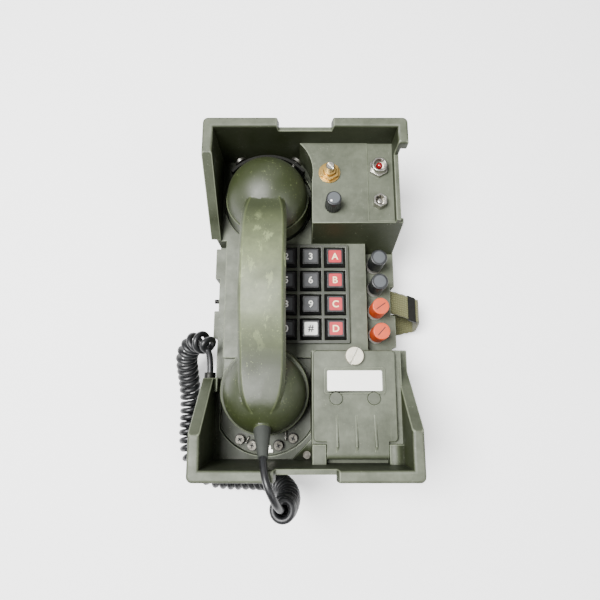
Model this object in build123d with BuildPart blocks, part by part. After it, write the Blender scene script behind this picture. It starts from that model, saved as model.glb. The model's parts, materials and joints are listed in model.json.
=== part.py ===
"""Field telephone with a keypad, a corded handset and a battery box.

Millimetres. The origin is the centre of the base on the surface it stands on, +Z is up, and +Y runs
towards the end that holds the ear cup. +X is the side with the binding posts.
"""

from build123d import *

import os
from math import ceil, cos, pi, radians, sin, sqrt, tan

os.makedirs("parts", exist_ok=True)

# ---- housing: plan ----
BODY_W = 141.0          # across the outer faces of the side walls
BODY_L = 243.4          # across the outer faces of the end walls
WALL = 3.6              # thickness of the standing walls
RIM_OVER = 4.2          # how far the rim bead stands out of the wall
CORNER_R = 4.0          # upright corners of the casting
HALF_W = BODY_W / 2
HALF_L = BODY_L / 2
IN_W = HALF_W - WALL
IN_L = HALF_L - WALL
DECK_LEFT = -IN_W + 3.9    # left edge of the keypad deck
DECK_RIGHT = IN_W - 18.3   # right edge of the keypad deck
BLOCK_OUT = 3.5         # how far the side blocks stand out of the walls
BLOCK_BOTTOM = 12.0     # underside of the side blocks above the floor

# ---- housing: heights ----
BASE_T = 3.0            # base plate
LEDGE_H = 38.0          # ledge with the binding posts, above the floor
DECK_RISE = 17.0        # keypad deck above the ledge
PANEL_RISE = 30.0       # control panel above the deck
BOX_RISE = 24.0         # seat of the battery door above the deck
RIM_RISE = 53.0         # rim above the deck
SKIN = 4.0              # thickness of the horizontal walls
WELL_DEPTH = 5.0        # cup recesses below the deck

# ---- housing: rim ----
BEAD_H = 9.0            # height of the rim bead
BEAD_ROUND = 2.2        # rounding along the top of the rim
NOTCH_W = 41.8          # notch in the middle of each end
NOTCH_DEPTH = 6.5
NOTCH_SLANT = 1.6       # how much each side of the notch leans in

# ---- housing: where the walls step down, along Y ----
LEFT_EAR_TOP = IN_L - 20.1      # the left wall begins to slope here
LEFT_EAR_FOOT = IN_L - 69.1     # and reaches the deck here
RIGHT_EAR_TOP = IN_L - 13.1     # the right wall drops to the low wall here
LOW_WALL_RISE = 36.0    # low wall beside the control panel, above the deck
LEFT_MOUTH_TOP = -IN_L + 21.1
LEFT_MOUTH_FOOT = -IN_L + 58.1
RIGHT_MOUTH_TOP = -IN_L + 23.6
RIGHT_MOUTH_FOOT = -IN_L + 63.1
RIGHT_MOUTH_END = -IN_L + 78.1
FOOT_RISE = 13.0        # height of the sloping walls at their feet, above the deck

# ---- control block ----
PANEL_FRONT = IN_L - 65.1   # front edge of the panel
PANEL_LEFT = IN_W - 61.7    # left face, beside the ear cup
PANEL_DRAFT = 0.207     # lean of the front face, mm per mm of height
PANEL_TIP = 3.0         # how far the front right corner stands out of the wall
PANEL_TIP_L = 4.0       # length of that corner along Y
STRIP_X = IN_W - 18.9   # the strip right of this line is set back
STRIP_DEPTH = 0.8

# ---- battery block and door ----
BOX_LEFT = IN_W - 62.4
BOX_FRONT = -IN_L + 77.1
DOOR_T = 4.0
DOOR_LEFT = BOX_LEFT + 0.9
DOOR_RIGHT = IN_W - 3.9
DOOR_FRONT = BOX_FRONT - 0.4
DOOR_BACK = -IN_L + 14.4
DOOR_CORNER = 3.0
DOOR_GAP = 0.4          # free gap round the hinge barrel and the door
LUG_GAP = 1.4           # door to the hinge lugs, room for its back edge to swing
HINGE_Y = -IN_L + 6.8
BARREL_D = 8.0
BARREL_LEFT = DOOR_LEFT + 9.1
BARREL_RIGHT = DOOR_RIGHT - 6.5
PIN_D = 3.0
PIN_LENGTH = 54.0
RIB_T = 1.4
RIB_H = 2.4             # ribs above the door's face, at the hinge
RIB_LENGTH = 21.0
RIB_PITCH = 13.2
RIB_COUNT = 3
FRAME_W = 42.5          # raised frame round the label
FRAME_L = 18.3
FRAME_H = 1.2
FRAME_T = 2.0
FRAME_Y = DOOR_FRONT - 21.1
LABEL_T = 0.6
BUTTON_D = 9.0
BUTTON_H = 1.4
BUTTON_PITCH = 26.2
BUTTON_Y = DOOR_FRONT - 33.2
GASKET_T = 1.0
GASKET_W = 1.3
POCKET_WALL = 3.5
POCKET_FLOOR = 20.0     # floor of the battery pocket above the base
THUMB_D = 12.6
THUMB_H = 4.6
THUMB_SHANK_D = 5.0
THUMB_SHANK = 7.6
THUMB_Y = DOOR_FRONT - 4.2
THUMB_SLOT = 1.3
THUMB_SLOT_TURN = 63.0  # slot, from the X axis

# ---- batteries ----
CELL_D = 26.0
CELL_H = 49.0
CELL_NUB_D = 8.0
CELL_NUB_H = 1.4
SPRING_H = 4.0

# ---- keypad ----
KEY_PITCH = 19.05
KEY_ROWS = 4
KEY_X = -5.0            # centre of the keypad
KEY_Y = 5.8
BEZEL_EDGE = 1.6        # bezel outside the outer bars
BEZEL_T = 3.0           # bezel above the deck
BAR_W = 2.5             # bars between the keys
KEY_GAP = 0.25          # key to bezel, all round
KEY_TOP_W = 12.5
KEY_RISE = 3.5          # key tops above the bezel
KEY_FLARE_Z = 0.8       # start of the key's flared sides below the bezel's face
KEY_TRAVEL = 1.5
KEY_FLANGE_W = 17.8
KEY_FLANGE_T = 3.2
BOARD_T = 1.6

# ---- binding posts ----
POST_X = IN_W - 9.4
POST_Y = 32.2           # first post, nearest the ear cup
POST_PITCH = 19.2
POST_COUNT = 4
POST_CAP_D = 12.8
POST_CAP_H = 20.0
POST_CAP_GAP = 8.0      # cap above the ledge, where the wire goes in
POST_TRAVEL = 4.0
POST_STEM_D = 8.0
POST_COLLAR_D = 13.0
POST_COLLAR_H = 2.0
POST_STUD_D = 6.0
POST_STUD_DEPTH = 12.0
POST_WIRE_D = 2.6

# ---- controls on the panel ----
MODE_X, MODE_Y = PANEL_LEFT + 13.3, IN_L - 25.1
MODE_BODY_D = 18.6
MODE_BODY_H = 16.0
MODE_BUSH_D = 9.4
MODE_BUSH_H = 7.0
MODE_SHAFT_D = 6.2
MODE_SHAFT_H = 12.5     # shaft end above the panel
MODE_SLOT = 1.2
MODE_SLOT_TURN = 135.0
WASHER_D = 16.4
WASHER_T = 1.0
NUT_AF = 12.9
NUT_H = 3.2
POT_X, POT_Y = PANEL_LEFT + 15.4, IN_L - 51.7
POT_BODY_D = 16.0
POT_BODY_H = 8.0
POT_BUSH_D = 7.0
POT_BUSH_H = 3.0
POT_SHAFT_D = 4.0
KNOB_D = 12.0
KNOB_TOP_D = 11.0
KNOB_H = 14.0
KNOB_FLUTES = 20
KNOB_FLUTE_D = 1.4
LED_X, LED_Y = IN_W - 10.9, IN_L - 21.1
LED_AF = 13.0
LED_NUT_H = 3.0
LED_D = 11.8
LED_H = 7.5
LED_BORE_D = 8.6
LED_BUSH_D = 8.0
LED_BUSH_DEPTH = 10.0
LED_LENS_D = 5.0
LED_LENS_H = 5.5
PUSH_X, PUSH_Y = IN_W - 11.1, IN_L - 49.1
PUSH_AF = 9.3
PUSH_H = 6.5
PUSH_BORE_D = 7.4
PUSH_TIP_D = 4.6
PUSH_TRAVEL = 2.0
PUSH_SINK = 2.2         # plunger tip below the bushing's mouth
PUSH_BODY_D = 8.4
PUSH_BODY_DEPTH = 14.0

# ---- handset ----
HANDSET_X = -IN_W + 37.9
EAR_Y = IN_L - 41.1
MOUTH_Y = -IN_L + 48.1
CUP_RISE = 20.0         # cup centres above the deck
CUP_TILT = 12.0         # the caps face inwards by this many degrees
EAR_R = 30.8
MOUTH_R = 29.3
CAP_OVER_EAR = 1.2      # cap radius beyond the cup
CAP_OVER_MOUTH = 2.4
CAP_H = 14.0
CAP_FLOOR = 3.0
SHELL_T = 3.4
THREAD_H = 6.0
GRIP_BEVEL = 3.0
CAPSULE_D = 44.0
CAPSULE_H = 8.0
SOUND_HOLE_D = 2.4
SOUND_RING = 8.0
BOOT_D = 11.6
BOOT_END_D = 6.4
BOOT_L = 21.0
BOOT_BOSS = 1.6

# ---- cradle ----
EAR_WELL_R = 36.0
EAR_WELL_Y = IN_L - 36.1
MOUTH_WELL_R = 40.0
MOUTH_WELL_Y = -IN_L + 42.1
MOUTH_WELL_TOP = -IN_L + 73.5  # straight edge of the recess towards the keypad
PAD_OUT_R = 21.5
PAD_IN_R = 14.0
PLATE_T = 2.5
PLATE_R = 39.2
PLATE_TRAVEL = 2.5
GUIDE_R = 34.0
GUIDE_TURNS = (-124.0, -107.0, -74.0, -54.0, 34.0, 146.0)
GUIDE_HEAD_D = 6.4
GUIDE_SHANK_D = 3.6
GUIDE_HEAD_H = 1.8
STAY_R = 36.0           # inner face of the strap that carries the ear pins
STAY_T = 2.0
STAY_H = 18.0
STAY_ARC = 100.0        # degrees that the strap spans
EAR_PIN_TURNS = (57.0, 123.0)
EAR_PIN_TIP_R = 33.2
EAR_PIN_D = 3.4
EAR_PIN_HEAD_D = 9.2
EAR_PIN_HEAD_T = 1.8
EAR_PIN_Z = 13.0        # above the deck

# ---- cord ----
CORD_D = 4.7
COIL_D = 17.6           # outside of the curls
COIL_GAP = 0.75         # free gap between neighbouring turns at the tightest side
BOOT_LEAN = (0.09, -0.75, 0.66)
COIL_START = 46.0       # along the route
COIL_END = 17.0         # before the route's end
COIL_RAMP = 3.5         # length over which a curl grows to its full size
COIL_OPEN = 0.6         # how much wider apart the turns are at both ends, as a share
GLAND_D = 8.5
GLAND_H = 4.0
GLAND_X = -HALF_W
GLAND_Z = 62.5
CORD_POINTS = (
    # right of the left face, beyond the mouth end's face, and above the floor
    (49.7, -10.3, 115.2),
    (53.8, -19.3, 107.5),
    (55.5, -23.0, 91.0),
    (57.5, -24.3, 73.0),
    (59.0, -21.8, 54.0),
    (54.5, -18.1, 36.0),
    (43.0, -16.6, 19.0),
    (26.5, -17.1, 10.6),
    (7.5, -17.5, 9.7),
    (-10.5, -14.3, 9.9),
    (-22.0, -1.8, 9.7),
    (-25.7, 15.7, 9.9),
    (-25.0, 33.7, 9.8),
    (-25.5, 51.7, 12.5),
    (-26.0, 67.7, 22.0),
    (-25.5, 82.3, 36.0),
    (-12.7, 92.9, 49.2),
    (0.0, 82.3, 62.5),
)

# ---- strap ----
STRAP_W = 19.0
STRAP_T = 2.2
STRAP_TOP_Z = 29.4      # underside of the upper run
STRAP_LOW_Z = 8.0       # underside of the lower run
STRAP_TOP_Y = 4.4       # centre of the strap, in the order in which it runs
STRAP_TIP_Y = -3.5
STRAP_TURN_Y = -9.0
STRAP_LOW_Y = -14.0
STRAP_REACH = 26.0      # how far the loop stands out of the wall
STRAP_BACK = 3.5        # inner run behind the wall
STRAP_ROUND = 4.0       # outer radius of the strap's bends
STRAP_FREE = 1.0        # window edges to the strap
CLIP_W = 6.0
CLIP_T = 0.8
STUD_D = 3.6            # bar end on the left wall
STUD_OUT = 4.5

# ---- base, boards and fasteners ----
BOSS_D = 10.0
BOSS_MID_Y = 40.0       # middle pair of bosses
BOSS_BITE = 1.0         # how far the bosses run into the walls
SCREW_D = 4.0
SCREW_HEAD_D = 7.6
SCREW_DEPTH = 14.0
MOUNT_X = 100.0         # mounting holes, centre to centre
MOUNT_Y = 190.0
MOUNT_D = 5.5
MAIN_W = 102.0
MAIN_L = 92.0
MAIN_Y = 12.0
MAIN_Z = 22.0
STANDOFF_D = 6.0
STANDOFF_INSET = 6.0
SOUNDER_D = 32.0
SOUNDER_H = 12.0
SOUNDER_X, SOUNDER_Y = -IN_W + 36.9, IN_L - 32.1

# ---- fits ----
RUN = 0.05              # radial clearance of a running fit
SLIP = 0.3              # free gap between separate pieces

# ---- worked out from the sizes above ----
BOSS_X = IN_W - BOSS_D / 2 + BOSS_BITE
BOSS_Y = IN_L - BOSS_D / 2 + BOSS_BITE
RIM_W = HALF_W + RIM_OVER
RIM_L = HALF_L + RIM_OVER
LEDGE_Z = LEDGE_H
DECK_Z = LEDGE_Z + DECK_RISE
PANEL_Z = DECK_Z + PANEL_RISE
BOX_Z = DECK_Z + BOX_RISE
RIM_Z = DECK_Z + RIM_RISE
FOOT_Z = DECK_Z + FOOT_RISE
LOW_WALL_Z = DECK_Z + LOW_WALL_RISE
WELL_Z = DECK_Z - WELL_DEPTH
DOOR_Z = BOX_Z + DOOR_T
DOOR_X = (DOOR_LEFT + DOOR_RIGHT) / 2
POCKET_X0 = BOX_LEFT + POCKET_WALL
POCKET_X1 = DOOR_RIGHT - GASKET_W - SLIP
POCKET_Y0 = DOOR_BACK + POCKET_WALL
POCKET_Y1 = BOX_FRONT - POCKET_WALL
CUP_Z = DECK_Z + CUP_RISE
BEZEL_W = KEY_ROWS * KEY_PITCH + 2 * BEZEL_EDGE
KEY_HOLE = KEY_PITCH - BAR_W
KEY_OPEN = KEY_ROWS * KEY_PITCH + 1.0
BEZEL_Z = DECK_Z + BEZEL_T
FLANGE_Z = DECK_Z - SLIP
BOARD_LEFT = KEY_X - KEY_OPEN / 2 - 5
BOARD_RIGHT = KEY_X + KEY_OPEN / 2 + 5
BOARD_FRONT = KEY_Y - KEY_OPEN / 2 - 5
BOARD_BACK = EAR_WELL_Y - EAR_WELL_R - WALL - SLIP
BOARD_TOP = FLANGE_Z - KEY_FLANGE_T - KEY_TRAVEL - 2 * SLIP
TILT_S = sin(radians(CUP_TILT))
TILT_C = cos(radians(CUP_TILT))
STRIP_Z = PANEL_Z - STRIP_DEPTH
SCREWS = [(x, y) for x in (-BOSS_X, BOSS_X) for y in (-BOSS_Y, BOSS_MID_Y, BOSS_Y)]
UPRIGHT = (Align.CENTER, Align.CENTER, Align.MIN)


def save(piece, name):
    """Label a finished piece and write it to its own file."""
    piece.part.label = name
    export_step(piece.part, f"parts/{name}.step")


def block(x0, x1, y0, y1, z0, z1, mode=Mode.ADD):
    """Add or cut a straight block between two opposite corners."""
    with Locations(((x0 + x1) / 2, (y0 + y1) / 2, (z0 + z1) / 2)):
        Box(x1 - x0, y1 - y0, z1 - z0, mode=mode)


def post(x, y, z0, z1, diameter, mode=Mode.ADD):
    """Add or cut an upright round post."""
    with Locations((x, y, z0)):
        Cylinder(diameter / 2, z1 - z0, align=UPRIGHT, mode=mode)


def hexagon(x, y, z0, z1, across_flats, mode=Mode.ADD):
    """Add or cut an upright hexagonal prism."""
    with BuildSketch(Plane.XY.offset(z0)) as outline:
        with Locations((x, y)):
            RegularPolygon(across_flats / 2, 6, major_radius=False, rotation=30)
    extrude(outline.sketch, amount=z1 - z0, mode=mode)


def side_plate(points, x0, x1, mode=Mode.ADD):
    """Add or cut a plate that stands along Y, its outline given as (y, z) points."""
    with BuildSketch(Plane.YZ.offset(x0)) as outline:
        with BuildLine():
            Polyline(*points, close=True)
        make_face()
    extrude(outline.sketch, amount=x1 - x0, mode=mode)


def end_plate(points, y0, y1, mode=Mode.ADD):
    """Add or cut a plate that stands along X, its outline given as (x, z) points."""
    with BuildSketch(Plane.XZ.offset(-y1)) as outline:
        with BuildLine():
            Polyline(*points, close=True)
        make_face()
    extrude(outline.sketch, amount=y1 - y0, mode=mode)


def lower_line(line, depth):
    """Move a line of (y, z) points down, square to each of its runs, and mitre the corners."""
    normals = []
    for (ya, za), (yb, zb) in zip(line, line[1:]):
        length = sqrt((yb - ya) ** 2 + (zb - za) ** 2)
        side = 1 if yb > ya else -1
        normals.append((side * (zb - za) / length, -side * (yb - ya) / length))
    moved = []
    for index, (y, z) in enumerate(line):
        before = normals[max(index - 1, 0)]
        after = normals[min(index, len(normals) - 1)]
        share = depth / (1 + before[0] * after[0] + before[1] * after[1])
        moved.append((y + share * (before[0] + after[0]), z + share * (before[1] + after[1])))
    return moved


def side_opening(line, side):
    """Cut one side wall away above a line of (y, z) points."""
    near, far = sorted((side * IN_W, side * (RIM_W + 1)))
    above = [(line[0][0], RIM_Z + 1)] + line + [(line[-1][0], RIM_Z + 1)]
    side_plate(above, near, far, mode=Mode.SUBTRACT)


def sloping_bead(line, side):
    """Carry the rim bead down along a sloping line of (y, z) points."""
    near, far = sorted((side * IN_W, side * RIM_W))
    side_plate(line + lower_line(line, BEAD_H)[::-1], near, far)


# ---- housing ----

left_ear = [(LEFT_EAR_TOP + BEAD_H, RIM_Z), (LEFT_EAR_TOP, RIM_Z), (LEFT_EAR_FOOT, BEZEL_Z)]
left_mouth = [(LEFT_MOUTH_TOP - BEAD_H, RIM_Z), (LEFT_MOUTH_TOP, RIM_Z), (LEFT_MOUTH_FOOT, FOOT_Z)]
right_mouth = [
    (RIGHT_MOUTH_TOP - BEAD_H, RIM_Z),
    (RIGHT_MOUTH_TOP, RIM_Z),
    (RIGHT_MOUTH_FOOT, FOOT_Z),
    (RIGHT_MOUTH_END, FOOT_Z),
]
left_line = left_mouth[1:] + [(LEFT_MOUTH_FOOT, LEDGE_Z), (LEFT_EAR_FOOT, LEDGE_Z)] + left_ear[:0:-1]
right_line = right_mouth[1:] + [
    (RIGHT_MOUTH_END, LEDGE_Z),
    (PANEL_FRONT, LEDGE_Z),
    (PANEL_FRONT, LOW_WALL_Z),
    (RIGHT_EAR_TOP, LOW_WALL_Z),
    (RIGHT_EAR_TOP, RIM_Z),
]

with BuildPart() as housing:
    # outer walls with the rim bead, hollow above the deck
    with BuildSketch(Plane.XY.offset(BASE_T)):
        RectangleRounded(BODY_W, BODY_L, CORNER_R)
    extrude(amount=RIM_Z - BASE_T)
    with BuildSketch(Plane.XY.offset(RIM_Z - BEAD_H)):
        RectangleRounded(2 * RIM_W, 2 * RIM_L, CORNER_R)
    extrude(amount=BEAD_H)
    block(-IN_W, IN_W, -IN_L, IN_L, DECK_Z, RIM_Z + 1, mode=Mode.SUBTRACT)
    side_opening(left_line, -1)
    side_opening(right_line, 1)
    for line, side in ((left_ear, -1), (left_mouth, -1), (right_mouth, 1)):
        sloping_bead(line, side)

    # rounding along the rim, before anything else meets it
    fillet(housing.edges().group_by(Axis.Z)[-1], BEAD_ROUND)

    # ledges beside the deck, and the side blocks under them
    block(-IN_W - 1, DECK_LEFT, LEFT_MOUTH_FOOT, LEFT_EAR_FOOT, LEDGE_Z, DECK_Z + 1, mode=Mode.SUBTRACT)
    block(DECK_RIGHT, IN_W + 1, RIGHT_MOUTH_END, PANEL_FRONT, LEDGE_Z, DECK_Z + 1, mode=Mode.SUBTRACT)
    for side, back, front in ((1, 15, 45), (1, -35, -9), (-1, 22, 48), (-1, -27, -5)):
        near, far = sorted((side * IN_W, side * (HALF_W + BLOCK_OUT)))
        block(near, far, back, front, BLOCK_BOTTOM, LEDGE_Z)

    # control block: its back follows the ear cup, its front leans back
    with BuildSketch(Plane.XY.offset(LEDGE_Z)):
        with BuildLine():
            left_edge = Line((PANEL_LEFT, PANEL_FRONT), (PANEL_LEFT, EAR_Y + 11))
            hollow = ThreePointArc(left_edge @ 1, (PANEL_LEFT - 2.5, IN_L - 9.5), (PANEL_LEFT - 10.5, IN_L + 1))
            Polyline(hollow @ 1, (IN_W + 1, IN_L + 1), (IN_W + 1, PANEL_FRONT), left_edge @ 0)
        make_face()
    extrude(amount=PANEL_Z - LEDGE_Z)
    lean = PANEL_DRAFT * (PANEL_Z - LEDGE_Z)
    front_face = [
        (PANEL_FRONT, PANEL_Z),
        (PANEL_FRONT - lean, LEDGE_Z),
        (PANEL_FRONT + PANEL_TIP_L, LEDGE_Z),
        (PANEL_FRONT + PANEL_TIP_L, PANEL_Z),
    ]
    side_plate(front_face, PANEL_LEFT, HALF_W + PANEL_TIP)
    block(IN_W, HALF_W, PANEL_FRONT + 1, IN_L, LEDGE_Z - 1, LOW_WALL_Z)

    # battery block, and the lugs that hold the hinge pin
    block(BOX_LEFT, IN_W + 1, -IN_L - 1, BOX_FRONT, LEDGE_Z, BOX_Z)
    for lug_left, lug_right in ((BOX_LEFT, BARREL_LEFT - DOOR_GAP), (BARREL_RIGHT + DOOR_GAP, IN_W + 1)):
        block(lug_left, lug_right, -IN_L - 1, DOOR_BACK - LUG_GAP, BOX_Z, DOOR_Z)

    # boss behind the cord gland
    block(-RIM_W, -IN_W + 3, LEFT_MOUTH_FOOT - 10, LEFT_MOUTH_FOOT, LEDGE_Z, FOOT_Z)

    # corner web beside the battery block
    with BuildSketch(Plane.XY.offset(DECK_Z)):
        with BuildLine():
            Polyline((BOX_LEFT, -IN_L), (BOX_LEFT, DOOR_BACK), (BOX_LEFT - 14, -IN_L), close=True)
        make_face()
    extrude(amount=BEZEL_T)

    # hollow inside: tub, deck, wells and control block
    block(-IN_W, IN_W, -IN_L, IN_L, BASE_T, LEDGE_Z - SKIN, mode=Mode.SUBTRACT)
    block(DECK_LEFT + WALL, BOX_LEFT - WALL, -IN_L, IN_L, LEDGE_Z - SKIN, WELL_Z - SKIN, mode=Mode.SUBTRACT)
    block(
        DECK_LEFT + WALL, DECK_RIGHT - WALL, MOUTH_WELL_TOP + WALL, EAR_WELL_Y - EAR_WELL_R - WALL,
        LEDGE_Z - SKIN, DECK_Z - SKIN, mode=Mode.SUBTRACT,
    )
    inner_face = [
        (PANEL_FRONT + SKIN, PANEL_Z - SKIN),
        (PANEL_FRONT + SKIN - lean, LEDGE_Z - SKIN),
        (IN_L, LEDGE_Z - SKIN),
        (IN_L, PANEL_Z - SKIN),
    ]
    side_plate(inner_face, PANEL_LEFT + 3.1, IN_W, mode=Mode.SUBTRACT)

    # battery pocket, reaching down into the tub
    block(BOX_LEFT, IN_W, POCKET_Y0 - POCKET_WALL, BOX_FRONT, POCKET_FLOOR - POCKET_WALL, LEDGE_Z)
    block(POCKET_X0, POCKET_X1, POCKET_Y0, POCKET_Y1, POCKET_FLOOR, BOX_Z + 1, mode=Mode.SUBTRACT)

    # trough for the hinge barrel, pin holes and the thumbscrew's hole
    block(
        BARREL_LEFT - DOOR_GAP, BARREL_RIGHT + DOOR_GAP, -IN_L, HINGE_Y + BARREL_D / 2 + DOOR_GAP,
        BOX_Z - BARREL_D / 2 - DOOR_GAP, DOOR_Z + 1, mode=Mode.SUBTRACT,
    )
    with Locations(Location((DOOR_X + 1.3, HINGE_Y, BOX_Z), (0, 90, 0))):
        Cylinder(PIN_D / 2 + RUN, PIN_LENGTH + 2 * SLIP, mode=Mode.SUBTRACT)
    block(DOOR_X - THUMB_D / 2, DOOR_X + THUMB_D / 2, THUMB_Y - THUMB_D / 2, BOX_FRONT, BOX_Z - 2 * THUMB_SHANK, BOX_Z)
    post(DOOR_X, THUMB_Y, BOX_Z - THUMB_SHANK, BOX_Z + 1, THUMB_SHANK_D + 2.4, mode=Mode.SUBTRACT)

    # recesses under the two cups
    post(HANDSET_X, EAR_WELL_Y, WELL_Z, DECK_Z + 1, 2 * EAR_WELL_R, mode=Mode.SUBTRACT)
    with BuildSketch(Plane.XY.offset(WELL_Z)):
        with Locations((HANDSET_X, MOUTH_WELL_Y)):
            Circle(MOUTH_WELL_R)
        with Locations((HANDSET_X, MOUTH_WELL_Y)):
            Rectangle(2 * MOUTH_WELL_R, MOUTH_WELL_R, align=(Align.CENTER, Align.MIN))
        with Locations((BOX_LEFT, MOUTH_WELL_TOP)):
            Rectangle(BOX_LEFT - DECK_LEFT, 3 * MOUTH_WELL_R, align=(Align.MAX, Align.MAX), mode=Mode.INTERSECT)
    extrude(amount=WELL_DEPTH + 1, mode=Mode.SUBTRACT)

    # keypad opening, with bosses under the deck for its board
    block(
        KEY_X - KEY_OPEN / 2, KEY_X + KEY_OPEN / 2, KEY_Y - KEY_OPEN / 2, KEY_Y + KEY_OPEN / 2,
        BOARD_TOP, DECK_Z + 1, mode=Mode.SUBTRACT,
    )
    for x in (BOARD_LEFT + 2.4, BOARD_RIGHT - 2.4):
        for y in (BOARD_FRONT + 18, BOARD_BACK - 12):
            post(x, y, BOARD_TOP, DECK_Z - SKIN, 4.6)

    # notches in both ends
    for end in (1, -1):
        low, high = sorted((end * (IN_L - 3), end * (RIM_L + 1)))
        notch = [
            (-NOTCH_W / 2, RIM_Z + 1),
            (-NOTCH_W / 2 + NOTCH_SLANT, RIM_Z - NOTCH_DEPTH),
            (NOTCH_W / 2 - NOTCH_SLANT, RIM_Z - NOTCH_DEPTH),
            (NOTCH_W / 2, RIM_Z + 1),
        ]
        end_plate(notch, low, high, mode=Mode.SUBTRACT)
        low, high = sorted((end * HALF_L, end * (RIM_L + 1)))
        block(-NOTCH_W / 2 + NOTCH_SLANT, NOTCH_W / 2 - NOTCH_SLANT, low, high,
              RIM_Z - BEAD_H - 1, RIM_Z + 1, mode=Mode.SUBTRACT)

    # set-back strip and the holes for the controls
    block(STRIP_X, IN_W, PANEL_FRONT + 2, IN_L, STRIP_Z, PANEL_Z + 1, mode=Mode.SUBTRACT)
    for x, y, bush in (
        (MODE_X, MODE_Y, MODE_BUSH_D),
        (POT_X, POT_Y, POT_BUSH_D),
        (LED_X, LED_Y, LED_BUSH_D),
        (PUSH_X, PUSH_Y, PUSH_BODY_D),
    ):
        post(x, y, PANEL_Z - SKIN - 1, PANEL_Z + 1, bush + 2 * RUN, mode=Mode.SUBTRACT)
    for index in range(POST_COUNT):
        post(POST_X, POST_Y - index * POST_PITCH, LEDGE_Z - SKIN - 1, LEDGE_Z + 1,
             POST_STUD_D + 2 * RUN, mode=Mode.SUBTRACT)

    # windows in the right wall for the strap, and the hole of the left bar end
    for y, z in ((STRAP_TOP_Y, STRAP_TOP_Z), (STRAP_LOW_Y, STRAP_LOW_Z)):
        block(IN_W - 1, HALF_W + 1, y - STRAP_W / 2 - STRAP_FREE, y + STRAP_W / 2 + STRAP_FREE,
              z - STRAP_FREE, z + STRAP_T + STRAP_FREE, mode=Mode.SUBTRACT)
    with Locations(Location((-HALF_W, STRAP_TOP_Y, LEDGE_Z - 2 * SKIN), (0, 90, 0))):
        Cylinder(STUD_D / 2 + RUN, 3 * WALL, mode=Mode.SUBTRACT)

    # screw bosses and the gland's hole
    for x, y in SCREWS:
        post(x, y, BASE_T, LEDGE_Z - 1, BOSS_D)
        post(x, y, BASE_T, BASE_T + SCREW_DEPTH, SCREW_D + 2 * RUN, mode=Mode.SUBTRACT)
    with Locations(Location((GLAND_X, LEFT_MOUTH_FOOT, GLAND_Z), (90, 0, 0))):
        Cylinder(CORD_D / 2 + 0.5, 16, mode=Mode.SUBTRACT)

save(housing, "housing")


# ---- base plate, boards and sounder ----

STANDOFFS = [
    (x * (MAIN_W / 2 - STANDOFF_INSET), MAIN_Y + y * (MAIN_L / 2 - STANDOFF_INSET)) for x in (-1, 1) for y in (-1, 1)
]

with BuildPart() as base_plate:
    with BuildSketch():
        RectangleRounded(BODY_W, BODY_L, CORNER_R)
    extrude(amount=BASE_T)
    for x, y in STANDOFFS:
        post(x, y, BASE_T, MAIN_Z, STANDOFF_D)
    for x, y in SCREWS:
        post(x, y, -1, BASE_T + 1, SCREW_D + 2 * SLIP, mode=Mode.SUBTRACT)
        with Locations((x, y, 0)):
            Cone(SCREW_HEAD_D / 2 + SLIP, SCREW_D / 2 + SLIP, SCREW_HEAD_D / 2 - SCREW_D / 2,
                 align=UPRIGHT, mode=Mode.SUBTRACT)
    with Locations(Plane.XY):
        with GridLocations(MOUNT_X, MOUNT_Y, 2, 2):
            Cylinder(MOUNT_D / 2, 4 * BASE_T, mode=Mode.SUBTRACT)
save(base_plate, "base_plate")

with BuildPart() as base_screws:
    for x, y in SCREWS:
        post(x, y, 0.3, BASE_T + SCREW_DEPTH - 1, SCREW_D)
        with Locations((x, y, 0.3)):
            Cone(SCREW_HEAD_D / 2 - 0.1, SCREW_D / 2, SCREW_HEAD_D / 2 - SCREW_D / 2, align=UPRIGHT)
        block(x - SCREW_HEAD_D / 3, x + SCREW_HEAD_D / 3, y - 0.4, y + 0.4, 0, 1.2, mode=Mode.SUBTRACT)
save(base_screws, "base_screws")

with BuildPart() as main_board:
    block(-MAIN_W / 2, MAIN_W / 2, MAIN_Y - MAIN_L / 2, MAIN_Y + MAIN_L / 2, MAIN_Z, MAIN_Z + BOARD_T)
    # transformer, relay, chips and capacitors on the board
    for x, y, width, length, height in (
        (-28, 30, 24, 20, 14), (8, 34, 20, 12, 10), (-30, -2, 20, 8, 3), (4, 2, 20, 8, 3), (30, -10, 16, 10, 5),
    ):
        block(x - width / 2, x + width / 2, y - length / 2, y + length / 2,
              MAIN_Z + BOARD_T, MAIN_Z + BOARD_T + height)
    for x, y in ((-38, -20), (-22, -20), (20, 18)):
        post(x, y, MAIN_Z + BOARD_T, MAIN_Z + BOARD_T + 9, 8)
save(main_board, "main_board")

with BuildPart() as sounder:
    post(SOUNDER_X, SOUNDER_Y, BASE_T, BASE_T + SOUNDER_H, SOUNDER_D)
    post(SOUNDER_X, SOUNDER_Y, BASE_T + SOUNDER_H - 1, BASE_T + SOUNDER_H + 1, SOUNDER_D / 4, mode=Mode.SUBTRACT)
save(sounder, "sounder")


# ---- keypad ----

def key_centre(column, row):
    """Centre of the key in a column from the left and a row from the top."""
    middle = (KEY_ROWS - 1) / 2
    return KEY_X + (column - middle) * KEY_PITCH, KEY_Y + (middle - row) * KEY_PITCH


with BuildPart() as keypad_bezel:
    with BuildSketch(Plane.XY.offset(DECK_Z)):
        with Locations((KEY_X, KEY_Y)):
            RectangleRounded(BEZEL_W, BEZEL_W, 1.5)
            with GridLocations(KEY_PITCH, KEY_PITCH, KEY_ROWS, KEY_ROWS):
                Rectangle(KEY_HOLE, KEY_HOLE, mode=Mode.SUBTRACT)
    extrude(amount=BEZEL_T)
    chamfer(keypad_bezel.edges().group_by(Axis.Z)[-1], 0.35)
save(keypad_bezel, "keypad_bezel")


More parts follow.
